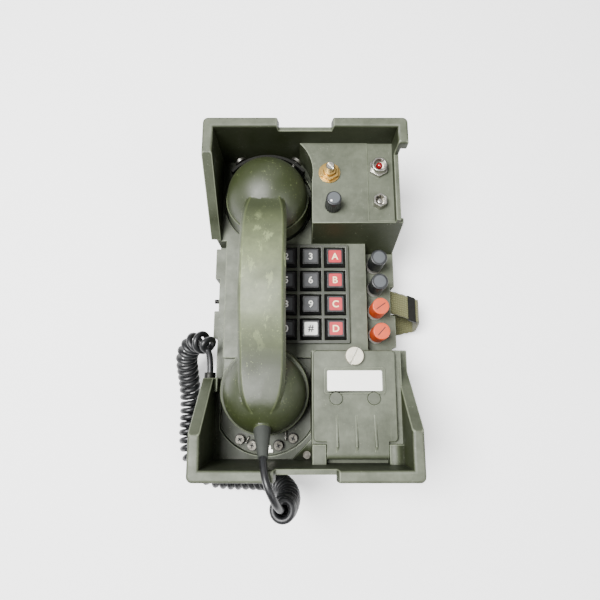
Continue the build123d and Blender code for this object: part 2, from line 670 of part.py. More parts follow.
def make_key(column, row):
    """Make one key: a flange under the bezel, a straight body and flared sides up to a square top."""
    x, y = key_centre(column, row)
    body = KEY_HOLE - 2 * KEY_GAP
    with BuildPart() as key:
        block(x - KEY_FLANGE_W / 2, x + KEY_FLANGE_W / 2, y - KEY_FLANGE_W / 2, y + KEY_FLANGE_W / 2,
              FLANGE_Z - KEY_FLANGE_T, FLANGE_Z)
        block(x - body / 2, x + body / 2, y - body / 2, y + body / 2, FLANGE_Z, BEZEL_Z - KEY_FLARE_Z)
        with BuildSketch(Plane.XY.offset(BEZEL_Z - KEY_FLARE_Z)):
            with Locations((x, y)):
                Rectangle(body, body)
        with BuildSketch(Plane.XY.offset(BEZEL_Z + KEY_RISE)):
            with Locations((x, y)):
                RectangleRounded(KEY_TOP_W, KEY_TOP_W, 0.8)
        loft(ruled=True)
    return key


KEY_NAMES = (
    ("key_1", "key_2", "key_3", "key_a"),
    ("key_4", "key_5", "key_6", "key_b"),
    ("key_7", "key_8", "key_9", "key_c"),
    ("key_star", "key_0", "key_hash", "key_d"),
)
for row, names in enumerate(KEY_NAMES):
    for column, name in enumerate(names):
        save(make_key(column, row), name)

with BuildPart() as keypad_board:
    block(BOARD_LEFT, BOARD_RIGHT, BOARD_FRONT, BOARD_BACK, BOARD_TOP - BOARD_T, BOARD_TOP)
save(keypad_board, "keypad_board")


# ---- controls on the panel ----

with BuildPart() as mode_switch:
    post(MODE_X, MODE_Y, PANEL_Z - SKIN - MODE_BODY_H, PANEL_Z - SKIN, MODE_BODY_D)
    post(MODE_X, MODE_Y, PANEL_Z - SKIN, PANEL_Z + MODE_BUSH_H, MODE_BUSH_D)
    post(MODE_X, MODE_Y, PANEL_Z - SKIN - MODE_BODY_H / 2, PANEL_Z + MODE_BUSH_H + 1,
         MODE_SHAFT_D + 2 * RUN, mode=Mode.SUBTRACT)
save(mode_switch, "mode_switch")

with BuildPart() as mode_nut:
    post(MODE_X, MODE_Y, PANEL_Z, PANEL_Z + WASHER_T, WASHER_D)
    hexagon(MODE_X, MODE_Y, PANEL_Z + WASHER_T, PANEL_Z + WASHER_T + NUT_H, NUT_AF)
    post(MODE_X, MODE_Y, PANEL_Z - 1, PANEL_Z + WASHER_T + NUT_H + 1, MODE_BUSH_D + 2 * RUN, mode=Mode.SUBTRACT)
save(mode_nut, "mode_nut")

with BuildPart() as mode_shaft:
    post(MODE_X, MODE_Y, PANEL_Z - SKIN - MODE_BODY_H / 2 + SLIP, PANEL_Z + MODE_SHAFT_H, MODE_SHAFT_D)
    chamfer(mode_shaft.edges().group_by(Axis.Z)[-1], 0.5)
    with Locations(Location((MODE_X, MODE_Y, PANEL_Z + MODE_SHAFT_H), (0, 0, MODE_SLOT_TURN))):
        Box(MODE_SHAFT_D + 1, MODE_SLOT, 4.0, mode=Mode.SUBTRACT)
save(mode_shaft, "mode_shaft")

with BuildPart() as volume_pot:
    post(POT_X, POT_Y, PANEL_Z - SKIN - POT_BODY_H, PANEL_Z - SKIN, POT_BODY_D)
    post(POT_X, POT_Y, PANEL_Z - SKIN, PANEL_Z + POT_BUSH_H, POT_BUSH_D)
    post(POT_X, POT_Y, PANEL_Z - SKIN - POT_BODY_H / 2, PANEL_Z + POT_BUSH_H + 1,
         POT_SHAFT_D + 2 * RUN, mode=Mode.SUBTRACT)
save(volume_pot, "volume_pot")

with BuildPart() as volume_knob:
    with Locations((POT_X, POT_Y, PANEL_Z + SLIP)):
        Cone(KNOB_D / 2, KNOB_TOP_D / 2, KNOB_H, align=UPRIGHT)
        Cylinder(POT_BUSH_D / 2 + SLIP, POT_BUSH_H + SLIP, align=UPRIGHT, mode=Mode.SUBTRACT)
    fillet(volume_knob.edges().group_by(Axis.Z)[-1], 0.8)
    with Locations((POT_X, POT_Y, PANEL_Z + SLIP)):
        with PolarLocations(KNOB_D / 2 + 0.1, KNOB_FLUTES):
            Cylinder(KNOB_FLUTE_D / 2, KNOB_H - 2.5, align=UPRIGHT, mode=Mode.SUBTRACT)
    post(POT_X, POT_Y, PANEL_Z - SKIN - POT_BODY_H / 2 + SLIP, PANEL_Z + POT_BUSH_H + 2, POT_SHAFT_D)
save(volume_knob, "volume_knob")

with BuildPart() as led_bezel:
    hexagon(LED_X, LED_Y, STRIP_Z, STRIP_Z + LED_NUT_H, LED_AF)
    post(LED_X, LED_Y, STRIP_Z + LED_NUT_H, STRIP_Z + LED_H, LED_D)
    chamfer(led_bezel.edges().group_by(Axis.Z)[-1], 0.5)
    post(LED_X, LED_Y, STRIP_Z - LED_BUSH_DEPTH, STRIP_Z, LED_BUSH_D)
    post(LED_X, LED_Y, STRIP_Z + 1.5, STRIP_Z + LED_H + 1, LED_BORE_D, mode=Mode.SUBTRACT)
save(led_bezel, "led_bezel")

with BuildPart() as led_lamp:
    post(LED_X, LED_Y, STRIP_Z + 1.5, STRIP_Z + 1.5 + LED_LENS_H - LED_LENS_D / 2, LED_LENS_D)
    with Locations((LED_X, LED_Y, STRIP_Z + 1.5 + LED_LENS_H - LED_LENS_D / 2)):
        Sphere(LED_LENS_D / 2)
save(led_lamp, "led_lamp")

with BuildPart() as push_bushing:
    hexagon(PUSH_X, PUSH_Y, STRIP_Z, STRIP_Z + PUSH_H, PUSH_AF)
    post(PUSH_X, PUSH_Y, STRIP_Z - PUSH_BODY_DEPTH, STRIP_Z, PUSH_BODY_D)
    post(PUSH_X, PUSH_Y, STRIP_Z - 1, STRIP_Z + PUSH_H + 1, PUSH_BORE_D, mode=Mode.SUBTRACT)
    post(PUSH_X, PUSH_Y, STRIP_Z - PUSH_BODY_DEPTH / 2, STRIP_Z, PUSH_TIP_D + 2 * RUN, mode=Mode.SUBTRACT)
save(push_bushing, "push_bushing")

with BuildPart() as push_plunger:
    post(PUSH_X, PUSH_Y, STRIP_Z - PUSH_BODY_DEPTH / 2 + PUSH_TRAVEL + SLIP, STRIP_Z + PUSH_H - PUSH_SINK, PUSH_TIP_D)
    fillet(push_plunger.edges().group_by(Axis.Z)[-1], 1.2)
save(push_plunger, "push_plunger")


# ---- binding posts ----

POSTS = [POST_Y - index * POST_PITCH for index in range(POST_COUNT)]
CAP_Z = LEDGE_Z + POST_CAP_GAP
STEM_TOP = CAP_Z + POST_CAP_H - POST_TRAVEL - 3.0

with BuildPart() as post_stems:
    for y in POSTS:
        post(POST_X, y, LEDGE_Z - POST_STUD_DEPTH, LEDGE_Z, POST_STUD_D)
        post(POST_X, y, LEDGE_Z, LEDGE_Z + POST_COLLAR_H, POST_COLLAR_D)
        post(POST_X, y, LEDGE_Z + POST_COLLAR_H, STEM_TOP, POST_STEM_D)
        with Locations(Location((POST_X, y, CAP_Z - POST_WIRE_D), (0, 90, 0))):
            Cylinder(POST_WIRE_D / 2, 2 * POST_STEM_D, mode=Mode.SUBTRACT)
save(post_stems, "post_stems")

for index, y in enumerate(POSTS):
    with BuildPart() as post_cap:
        post(POST_X, y, CAP_Z, CAP_Z + POST_CAP_H, POST_CAP_D)
        fillet(post_cap.edges().group_by(Axis.Z)[-1], 0.8)
        chamfer(post_cap.edges().group_by(Axis.Z)[0], 0.5)
        post(POST_X, y, CAP_Z - 1, STEM_TOP + POST_TRAVEL + SLIP, POST_STEM_D + 2 * RUN, mode=Mode.SUBTRACT)
    save(post_cap, f"post_cap_{index + 1}")


# ---- battery door ----

with BuildPart() as battery_door:
    with BuildSketch(Plane.XY.offset(BOX_Z + GASKET_T)):
        with Locations((DOOR_X, (DOOR_FRONT + DOOR_BACK) / 2)):
            RectangleRounded(DOOR_RIGHT - DOOR_LEFT, DOOR_FRONT - DOOR_BACK, DOOR_CORNER)
    extrude(amount=DOOR_T - GASKET_T)
    fillet(battery_door.edges().group_by(Axis.Z)[-1], 0.9)
    # web and barrel of the hinge
    block(BARREL_LEFT, BARREL_RIGHT, HINGE_Y, DOOR_BACK + 2, BOX_Z + GASKET_T, DOOR_Z)
    with Locations(Location(((BARREL_LEFT + BARREL_RIGHT) / 2, HINGE_Y, BOX_Z), (0, 90, 0))):
        Cylinder(BARREL_D / 2, BARREL_RIGHT - BARREL_LEFT)
    # ribs rising towards the hinge
    for index in range(RIB_COUNT):
        x = DOOR_X + 0.4 + (index - (RIB_COUNT - 1) / 2) * RIB_PITCH
        rib = [
            (DOOR_BACK + RIB_LENGTH - 3, DOOR_Z - 1),
            (DOOR_BACK + RIB_LENGTH - 3, DOOR_Z),
            (HINGE_Y + 5, DOOR_Z + RIB_H),
            (HINGE_Y + 1, DOOR_Z),
            (HINGE_Y + 1, DOOR_Z - 1),
        ]
        side_plate(rib, x - RIB_T / 2, x + RIB_T / 2)
    # raised frame round the label, and the seats of the buttons
    with BuildSketch(Plane.XY.offset(DOOR_Z)):
        with Locations((DOOR_X, FRAME_Y)):
            RectangleRounded(FRAME_W, FRAME_L, 2.0)
            RectangleRounded(FRAME_W - 2 * FRAME_T, FRAME_L - 2 * FRAME_T, 1.2, mode=Mode.SUBTRACT)
    extrude(amount=FRAME_H)
    for side in (-1, 1):
        post(DOOR_X + side * BUTTON_PITCH / 2, BUTTON_Y, DOOR_Z - 1, DOOR_Z + 2, BUTTON_D, mode=Mode.SUBTRACT)
    post(DOOR_X, THUMB_Y, BOX_Z, DOOR_Z + 1, THUMB_SHANK_D + 2 * RUN, mode=Mode.SUBTRACT)
    with Locations(Location((DOOR_X, HINGE_Y, BOX_Z), (0, 90, 0))):
        Cylinder(PIN_D / 2 + RUN, 2 * PIN_LENGTH, mode=Mode.SUBTRACT)
save(battery_door, "battery_door")

with BuildPart() as door_gasket:
    with BuildSketch(Plane.XY.offset(BOX_Z)):
        with Locations(((POCKET_X0 + POCKET_X1) / 2, (POCKET_Y0 + POCKET_Y1) / 2)):
            width, length = POCKET_X1 - POCKET_X0, POCKET_Y1 - POCKET_Y0
            Rectangle(width + 2 * GASKET_W, length + 2 * GASKET_W)
            Rectangle(width, length, mode=Mode.SUBTRACT)
        with Locations((DOOR_X, THUMB_Y)):
            Circle(THUMB_SHANK_D / 2 + 2 * SLIP, mode=Mode.SUBTRACT)
    extrude(amount=GASKET_T)
save(door_gasket, "door_gasket")

with BuildPart() as label_plate:
    with BuildSketch(Plane.XY.offset(DOOR_Z)):
        with Locations((DOOR_X, FRAME_Y)):
            RectangleRounded(FRAME_W - 2 * FRAME_T - 0.4, FRAME_L - 2 * FRAME_T - 0.4, 1.0)
    extrude(amount=LABEL_T)
save(label_plate, "label_plate")

with BuildPart() as door_buttons:
    for side in (-1, 1):
        post(DOOR_X + side * BUTTON_PITCH / 2, BUTTON_Y, DOOR_Z - 1, DOOR_Z + BUTTON_H, BUTTON_D - 0.1)
    fillet(door_buttons.edges().group_by(Axis.Z)[-1], 0.5)
save(door_buttons, "door_buttons")

with BuildPart() as hinge_pin:
    with Locations(Location((DOOR_X + 1.3, HINGE_Y, BOX_Z), (0, 90, 0))):
        Cylinder(PIN_D / 2, PIN_LENGTH)
save(hinge_pin, "hinge_pin")

with BuildPart() as thumbscrew:
    post(DOOR_X, THUMB_Y, DOOR_Z, DOOR_Z + THUMB_H, THUMB_D)
    fillet(thumbscrew.edges().group_by(Axis.Z)[-1], 0.7)
    with Locations(Location((DOOR_X, THUMB_Y, DOOR_Z + THUMB_H), (0, 0, THUMB_SLOT_TURN))):
        Box(THUMB_D + 2, THUMB_SLOT, 3.0, mode=Mode.SUBTRACT)
    post(DOOR_X, THUMB_Y, DOOR_Z - THUMB_SHANK, DOOR_Z, THUMB_SHANK_D)
save(thumbscrew, "thumbscrew")


# ---- batteries ----

CELLS = [(POCKET_X0 + POCKET_X1) / 2 + side * (CELL_D + SLIP) / 2 for side in (-1, 1)]
CELL_Y = (POCKET_Y0 + POCKET_Y1) / 2
CELL_Z = POCKET_FLOOR + SPRING_H
CELL_TOP = CELL_Z + CELL_H + CELL_NUB_H

with BuildPart() as battery_cells:
    for x in CELLS:
        post(x, CELL_Y, CELL_Z, CELL_Z + CELL_H, CELL_D)
        post(x, CELL_Y, CELL_Z + CELL_H, CELL_TOP, CELL_NUB_D)
save(battery_cells, "battery_cells")

with BuildPart() as battery_springs:
    for x in CELLS:
        with Locations((x, CELL_Y, POCKET_FLOOR)):
            Cone(CELL_D / 3, CELL_NUB_D / 2, SPRING_H, align=UPRIGHT)
save(battery_springs, "battery_springs")

with BuildPart() as door_contact:
    block(CELLS[0] - CELL_NUB_D / 2, CELLS[1] + CELL_NUB_D / 2, CELL_Y - CELL_NUB_D / 2, CELL_Y + CELL_NUB_D / 2,
          CELL_TOP + SLIP, BOX_Z + GASKET_T)
save(door_contact, "door_contact")


# ---- cradle ----

EAR_CAP = (HANDSET_X, EAR_Y - CAP_H * TILT_S, CUP_Z - CAP_H * TILT_C)
MOUTH_CAP = (HANDSET_X, MOUTH_Y + CAP_H * TILT_S, CUP_Z - CAP_H * TILT_C)


def make_pad(centre, seat, lean):
    """Make a wedge-shaped ring that stands on a seat and carries a tilted cap."""
    x, y, z = centre
    with BuildPart() as pad:
        with BuildSketch(Plane.XY.offset(seat)):
            with Locations((x, y)):
                Circle(PAD_OUT_R)
                Circle(PAD_IN_R, mode=Mode.SUBTRACT)
        extrude(amount=z - seat + PAD_OUT_R)
        split(bisect_by=Plane(origin=centre, z_dir=(0, lean * TILT_S, TILT_C)), keep=Keep.BOTTOM)
    return pad


save(make_pad(EAR_CAP, WELL_Z, 1), "ear_pad")
save(make_pad(MOUTH_CAP, WELL_Z + PLATE_T, -1), "mouth_pad")

with BuildPart() as ear_stay:
    with BuildSketch(Plane.XY.offset(WELL_Z)):
        with Locations((HANDSET_X, EAR_Y)):
            Circle(STAY_R + STAY_T)
            Circle(STAY_R, mode=Mode.SUBTRACT)
        wing = STAY_R * 2
        half = radians(STAY_ARC / 2)
        with BuildLine():
            Polyline(
                (HANDSET_X, EAR_Y), (HANDSET_X + wing * sin(half), EAR_Y + wing * cos(half)),
                (HANDSET_X, EAR_Y + wing), (HANDSET_X - wing * sin(half), EAR_Y + wing * cos(half)), close=True,
            )
        make_face(mode=Mode.INTERSECT)
    extrude(amount=WELL_DEPTH + STAY_H)
    for turn in EAR_PIN_TURNS:
        direction = Vector(cos(radians(turn)), sin(radians(turn)), 0)
        tip = Vector(HANDSET_X, EAR_Y, DECK_Z + EAR_PIN_Z) + direction * EAR_PIN_TIP_R
        with BuildSketch(Plane(origin=tip, z_dir=direction)):
            Circle(EAR_PIN_D / 2)
        extrude(amount=STAY_R + STAY_T - EAR_PIN_TIP_R + 2)
        with BuildSketch(Plane(origin=tip + direction * (STAY_R + STAY_T - EAR_PIN_TIP_R + 2), z_dir=direction)):
            Circle(EAR_PIN_HEAD_D / 2)
        extrude(amount=EAR_PIN_HEAD_T)
save(ear_stay, "ear_stay")

GUIDES = [
    (HANDSET_X + GUIDE_R * cos(radians(turn)), MOUTH_WELL_Y + GUIDE_R * sin(radians(turn))) for turn in GUIDE_TURNS
]

with BuildPart() as hook_plate:
    with BuildSketch(Plane.XY.offset(WELL_Z)):
        with Locations((HANDSET_X, MOUTH_WELL_Y)):
            Circle(PLATE_R)
        with Locations((BOX_LEFT - SLIP, MOUTH_WELL_TOP - SLIP)):
            Rectangle(BOX_LEFT - DECK_LEFT - 2 * SLIP, 3 * PLATE_R, align=(Align.MAX, Align.MAX), mode=Mode.INTERSECT)
        with Locations((HANDSET_X, MOUTH_CAP[1])):
            Circle(PAD_IN_R, mode=Mode.SUBTRACT)
        with Locations(*GUIDES):
            Circle(GUIDE_SHANK_D / 2 + SLIP, mode=Mode.SUBTRACT)
    extrude(amount=PLATE_T)
save(hook_plate, "hook_plate")

with BuildPart() as cradle_screws:
    head = WELL_Z + PLATE_T + PLATE_TRAVEL + SLIP
    for x, y in GUIDES:
        post(x, y, WELL_Z, head, GUIDE_SHANK_D)
        post(x, y, head, head + GUIDE_HEAD_H, GUIDE_HEAD_D)
    post(BOX_LEFT - 3.4, -IN_L + 3.4, BEZEL_Z, BEZEL_Z + GUIDE_HEAD_H, GUIDE_HEAD_D - 1)
save(cradle_screws, "cradle_screws")


# ---- handset ----

def cup_plane(centre_y, lean, depth):
    """Plane across a cup's axis, at a depth below the cup's centre, facing up the axis."""
    origin = (HANDSET_X, centre_y - lean * depth * TILT_S, CUP_Z - depth * TILT_C)
    return Plane(origin=origin, x_dir=(1, 0, 0), z_dir=(0, lean * TILT_S, TILT_C))


BOOT_DIR = Vector(*BOOT_LEAN).normalized()
BOOT_FOOT = Vector(HANDSET_X, MOUTH_Y, CUP_Z) + Vector(0, -0.82, 0.57).normalized() * MOUTH_R
GRIP = (
    # y, top, height, width and flat width of each section
    (EAR_Y - 9, CUP_RISE + 26.5, 13, 25, 19),
    (EAR_Y - 21, CUP_RISE + 31.6, 20, 31, 25),
    (EAR_Y - 38, CUP_RISE + 38.6, 22, 32, 27),
    (16, CUP_RISE + 43, 22.5, 32, 27),
    (-8, CUP_RISE + 43.2, 22.5, 32, 27),
    (-30, CUP_RISE + 38, 22.5, 32, 27),
    (MOUTH_Y + 20, CUP_RISE + 31.6, 21, 32, 27),
    (MOUTH_Y - 1, CUP_RISE + 29.2, 12, 29, 23),
    (MOUTH_Y - 15, CUP_RISE + 24.0, 8, 16, 11),
)

with BuildPart() as handset_shell:
    # arched grip
    for y, top, height, width, flat in GRIP:
        with BuildSketch(Plane(origin=(HANDSET_X, y, DECK_Z + top), x_dir=(1, 0, 0), z_dir=(0, -1, 0))):
            with BuildLine():
                Polyline(
                    (-flat / 2, 0), (flat / 2, 0), (width / 2, -GRIP_BEVEL), (width / 2 - 1.5, -height + 5),
                    (width / 2 - 7, -height), (-width / 2 + 7, -height), (-width / 2 + 1.5, -height + 5),
                    (-width / 2, -GRIP_BEVEL), close=True,
                )
            make_face()
    loft()
    # domed cups
    for centre_y, lean, radius in ((EAR_Y, 1, EAR_R), (MOUTH_Y, -1, MOUTH_R)):
        with Locations((HANDSET_X, centre_y, CUP_Z)):
            Sphere(radius)
    # boss that holds the cord's boot
    with BuildSketch(Plane(origin=BOOT_FOOT - BOOT_DIR * 6, z_dir=BOOT_DIR)):
        Circle(BOOT_D / 2)
    extrude(amount=6 + BOOT_BOSS)
    # cut the cups off at their caps, then hollow them
    for centre_y, lean, radius in ((EAR_Y, 1, EAR_R), (MOUTH_Y, -1, MOUTH_R)):
        with BuildSketch(cup_plane(centre_y, lean, 0)):
            Circle(radius + 8)
        extrude(amount=-2 * radius, mode=Mode.SUBTRACT)
        with BuildSketch(cup_plane(centre_y, lean, 0)):
            Circle(radius - SHELL_T)
        extrude(amount=-THREAD_H)
        with Locations((HANDSET_X, centre_y, CUP_Z)):
            Sphere(radius - 2 * SHELL_T, mode=Mode.SUBTRACT)
        with BuildSketch(cup_plane(centre_y, lean, 0)):
            Circle(radius - 2 * SHELL_T)
        extrude(amount=-THREAD_H - 1, mode=Mode.SUBTRACT)
save(handset_shell, "handset_shell")


def make_cap(centre_y, lean, cup_radius, over):
    """Make a screwed cap with sound holes, its rim as wide as the cup and a little over."""
    outer = cup_radius + over
    with BuildPart() as cap:
        with BuildSketch(cup_plane(centre_y, lean, CAP_H)):
            Circle(outer)
        extrude(amount=CAP_H)
        fillet(cap.edges().sort_by(Axis.Z)[0], 2.0)
        with BuildSketch(cup_plane(centre_y, lean, CAP_H - CAP_FLOOR)):
            Circle(cup_radius - SHELL_T + RUN)
        extrude(amount=CAP_H, mode=Mode.SUBTRACT)
        with BuildSketch(cup_plane(centre_y, lean, CAP_H)):
            Circle(SOUND_HOLE_D / 2)
            with PolarLocations(SOUND_RING, 6):
                Circle(SOUND_HOLE_D / 2)
            with PolarLocations(2 * SOUND_RING, 12):
                Circle(SOUND_HOLE_D / 2)
        extrude(amount=CAP_H, mode=Mode.SUBTRACT)
    return cap


save(make_cap(EAR_Y, 1, EAR_R, CAP_OVER_EAR), "ear_cap")
save(make_cap(MOUTH_Y, -1, MOUTH_R, CAP_OVER_MOUTH), "mouth_cap")

with BuildPart() as handset_capsules:
    for centre_y, lean in ((EAR_Y, 1), (MOUTH_Y, -1)):
        with BuildSketch(cup_plane(centre_y, lean, CAP_H - CAP_FLOOR - SLIP)):
            Circle(CAPSULE_D / 2)
        extrude(amount=CAPSULE_H)
save(handset_capsules, "handset_capsules")

BOOT_START = BOOT_FOOT + BOOT_DIR * BOOT_BOSS
BOOT_TIP = BOOT_START + BOOT_DIR * BOOT_L

with BuildPart() as cord_boot:
    with BuildSketch(Plane(origin=BOOT_START, z_dir=BOOT_DIR)):
        Circle(BOOT_D / 2)
    with BuildSketch(Plane(origin=BOOT_TIP, z_dir=BOOT_DIR)):
        Circle(BOOT_END_D / 2)
    loft()
save(cord_boot, "cord_boot")


# ---- curly cord ----

ROUTE = [BOOT_TIP, BOOT_TIP + BOOT_DIR * 13.0]
ROUTE += [Vector(x - HALF_W, y - HALF_L, z) for x, y, z in CORD_POINTS]
ROUTE += [Vector(GLAND_X, LEFT_MOUTH_FOOT + GLAND_H, GLAND_Z)]


def corner_radii(points):
    """Give each corner of a route the largest arc that its two runs allow."""
    radii = []
    for before, at, after in zip(points, points[1:], points[2:]):
        turn = radians((at - before).get_angle(after - at))
        run = min((at - before).length, (after - at).length)
        radii.append(0.45 * run / tan(turn / 2))
    return radii


RADII = corner_radii(ROUTE)
print("cord arcs, mm:", [round(radius, 1) for radius in RADII])

with BuildLine() as cord_centre:
    FilletPolyline(*ROUTE, radius=RADII)
CENTRE = cord_centre.wires()[0]
STEPS = ceil(CENTRE.length / 0.5)
STEP = CENTRE.length / STEPS
COIL_R = (COIL_D - CORD_D) / 2


def walk_route():
    """Walk along the route with a frame that doesn't twist, and count the curls' angle on the way."""
    places = [CENTRE.position_at(index * STEP, position_mode=PositionMode.LENGTH) for index in range(STEPS + 1)]
    ways = [CENTRE.tangent_at(index * STEP, position_mode=PositionMode.LENGTH) for index in range(STEPS + 1)]
    across = ways[0].cross(Vector(0, 0, 1)).normalized()
    angle = 0.0
    walk = []
    for index, (place, way) in enumerate(zip(places, ways)):
        across = (across - way * across.dot(way)).normalized()
        walk.append((place, way, across, angle))
        near, far = ways[max(index - 3, 0)], ways[min(index + 3, STEPS)]
        bend = radians(near.get_angle(far)) / (6 * STEP)
        inside = min(index * STEP - COIL_START, CENTRE.length - COIL_END - index * STEP)
        if inside >= 0:
            opened = 1 + COIL_OPEN * max(0, 1 - inside / (CORD_D + COIL_GAP))
            pitch = (CORD_D + COIL_GAP) * opened / (1 - min(bend * COIL_R, 0.6))
            angle += 2 * pi * STEP / pitch
    whole = int(angle / pi) * pi / angle
    return [(place, way, across, turned * whole) for place, way, across, turned in walk]


WALK = walk_route()


def cord_place(travel):
    """Place of the cord's line beside the route, at a distance along the route."""
    index = min(int(travel / STEP), STEPS - 1)
    share = travel / STEP - index
    place, way, across, angle = (a * (1 - share) + b * share for a, b in zip(WALK[index], WALK[index + 1]))
    ramp = min(travel - COIL_START, CENTRE.length - COIL_END - travel) / COIL_RAMP
    ramp = min(max(ramp, 0.0), 1.0)
    swell = COIL_R * ramp * ramp * (3 - 2 * ramp)
    return place + (across * cos(angle) + way.cross(across) * sin(angle)) * swell


def cord_way(travel):
    """Direction of the cord's line there."""
    behind, ahead = max(travel - 0.05, 0), min(travel + 0.05, CENTRE.length)
    return (cord_place(ahead) - cord_place(behind)).normalized()


def biarc(start, start_way, end, end_way):
    """Join two points with two arcs that run on smoothly from the given directions."""
    chord = end - start
    total = start_way + end_way
    spread = 2 * (1 - start_way.dot(end_way))
    if spread < 1e-7:
        return [Edge.make_line(start, end)]
    reach = (-chord.dot(total) + sqrt(chord.dot(total) ** 2 + spread * chord.dot(chord))) / spread
    joint = (start + start_way * reach + end - end_way * reach) / 2
    joint_way = (end - end_way * reach - start - start_way * reach).normalized()
    return [Edge.make_tangent_arc(start, start_way, joint), Edge.make_tangent_arc(joint, joint_way, end)]


# points of the line: some millimetres apart in the tails, half a turn apart in the curls
TRAVELS = [share * COIL_START / 8 for share in range(8)]
goal = 0.0
for index in range(STEPS):
    before, after = WALK[index][3], WALK[index + 1][3]
    while after > before and before <= goal < after:
        TRAVELS.append((index + (goal - before) / (after - before)) * STEP)
        goal += pi
LAST_CURL = TRAVELS[-1]
TRAVELS += [LAST_CURL + share * (CENTRE.length - LAST_CURL) / 5 for share in range(1, 6)]
LINE = [(cord_place(travel), cord_way(travel)) for travel in TRAVELS]
ARCS = []
for (start, start_way), (end, end_way) in zip(LINE, LINE[1:]):
    ARCS += biarc(start, start_way, end, end_way)
tightest = min(arc.radius for arc in ARCS if arc.geom_type == GeomType.CIRCLE)
CORD_WIRE = Wire(ARCS)
print("cord: route", round(CENTRE.length), "mm, line", round(CORD_WIRE.length), "mm, curls",
      round(WALK[-1][3] / (2 * pi), 1), "tightest arc", round(tightest, 2))


def least_gap():
    """Measure the least free gap between parts of the cord that aren't neighbours along it."""
    spots = []
    for arc in ARCS:
        count = max(int(arc.length / 0.8), 1)
        spots += [arc @ (index / count) for index in range(count)]
    spots = [(spot.X, spot.Y, spot.Z) for spot in spots]
    cells = {}
    for index, (x, y, z) in enumerate(spots):
        cells.setdefault((int(x // 8), int(y // 8), int(z // 8)), []).append(index)
    least = 1e9
    for (i, j, k), members in cells.items():
        near = []
        for di in (-1, 0, 1):
            for dj in (-1, 0, 1):
                for dk in (-1, 0, 1):
                    near += cells.get((i + di, j + dj, k + dk), [])
        for first in members:
            x, y, z = spots[first]
            for second in near:
                if second - first > 16:
                    u, v, w = spots[second]
                    least = min(least, (x - u) ** 2 + (y - v) ** 2 + (z - w) ** 2)
    return sqrt(least) - CORD_D


print("cord: least gap to itself", round(least_gap(), 2), "mm")

with BuildPart() as handset_cord:
    with BuildSketch(Plane(origin=LINE[0][0], z_dir=LINE[0][1])):
        Circle(CORD_D / 2)
    sweep(path=CORD_WIRE)
expected = pi * (CORD_D / 2) ** 2 * CORD_WIRE.length
print("cord: volume over section times length", round(handset_cord.part.volume / expected, 4))
save(handset_cord, "handset_cord")

with BuildPart() as cord_gland:
    with Locations(Location((GLAND_X, LEFT_MOUTH_FOOT + GLAND_H / 2, GLAND_Z), (90, 0, 0))):
        Cylinder(GLAND_D / 2, GLAND_H)
    with Locations(Location((GLAND_X, LEFT_MOUTH_FOOT - 3, GLAND_Z), (90, 0, 0))):
        Cylinder(CORD_D / 2 + 0.5 - RUN, 6)
save(cord_gland, "cord_gland")


# ---- strap ----

STRAP_X0 = IN_W - STRAP_BACK
STRAP_X1 = HALF_W + STRAP_REACH
STRAP_BEND = HALF_W + 1.5


def band(points, half):
    """Outline of a band that follows points (along, across), half as wide as given to each side."""
    return [(a, b + half) for a, b in points] + [(a, b - half) for a, b in reversed(points)]


def flat_run(points, half, z0, z1, mode=Mode.ADD):
    """Add or cut a level run of the strap, its line given as (x, y) points."""
    with BuildSketch(Plane.XY.offset(z0)) as outline:
        with BuildLine():
            Polyline(*band(points, half), close=True)
        make_face()
    extrude(outline.sketch, amount=z1 - z0, mode=mode)


def standing_run(points, half, x0, x1):
    """Add an upright run of the strap, its line given as (z, y) points."""
    with BuildSketch(Plane.YZ.offset(x0)) as outline:
        with BuildLine():
            Polyline(*[(y, z) for z, y in band(points, half)], close=True)
        make_face()
    extrude(outline.sketch, amount=x1 - x0)


UPPER_RUN = [
    (STRAP_X0, STRAP_TOP_Y), (STRAP_BEND, STRAP_TOP_Y), (STRAP_X1 - STRAP_ROUND, STRAP_TIP_Y), (STRAP_X1, STRAP_TIP_Y),
]
LOWER_RUN = [
    (STRAP_X0, STRAP_LOW_Y), (STRAP_BEND, STRAP_LOW_Y), (STRAP_X1 - STRAP_ROUND, STRAP_TURN_Y), (STRAP_X1, STRAP_TURN_Y),
]
STRAP_FOOT = STRAP_LOW_Z + STRAP_ROUND
STRAP_HEAD = STRAP_TOP_Z + STRAP_T - STRAP_ROUND

with BuildPart() as strap:
    flat_run(UPPER_RUN, STRAP_W / 2, STRAP_TOP_Z, STRAP_TOP_Z + STRAP_T)
    flat_run(LOWER_RUN, STRAP_W / 2, STRAP_LOW_Z, STRAP_LOW_Z + STRAP_T)
    for x, low_y, top_y in ((STRAP_X0, STRAP_LOW_Y, STRAP_TOP_Y), (STRAP_X1 - STRAP_T, STRAP_TURN_Y, STRAP_TIP_Y)):
        side = [(STRAP_LOW_Z, low_y), (STRAP_FOOT, low_y), (STRAP_HEAD, top_y), (STRAP_TOP_Z + STRAP_T, top_y)]
        standing_run(side, STRAP_W / 2, x, x + STRAP_T)
    along = strap.edges().filter_by(Axis.Y)
    corners = [
        edge for edge in along
        if edge.center().X in (along.group_by(Axis.X)[0][0].center().X, along.group_by(Axis.X)[-1][0].center().X)
    ]
    fillet(corners, STRAP_ROUND)
save(strap, "strap")


def upper_centre(x):
    """Centre of the strap's upper run at a distance from the middle of the body."""
    share = (x - STRAP_BEND) / (STRAP_X1 - STRAP_ROUND - STRAP_BEND)
    return STRAP_TOP_Y + share * (STRAP_TIP_Y - STRAP_TOP_Y)


CLIP_X1 = STRAP_X1 - STRAP_ROUND - 0.5
CLIP_LINE = [(x, upper_centre(x)) for x in (CLIP_X1 - CLIP_W, CLIP_X1)]
CLIP_HOLE = [(x, upper_centre(x)) for x in (CLIP_X1 - CLIP_W - 1, CLIP_X1 + 1)]

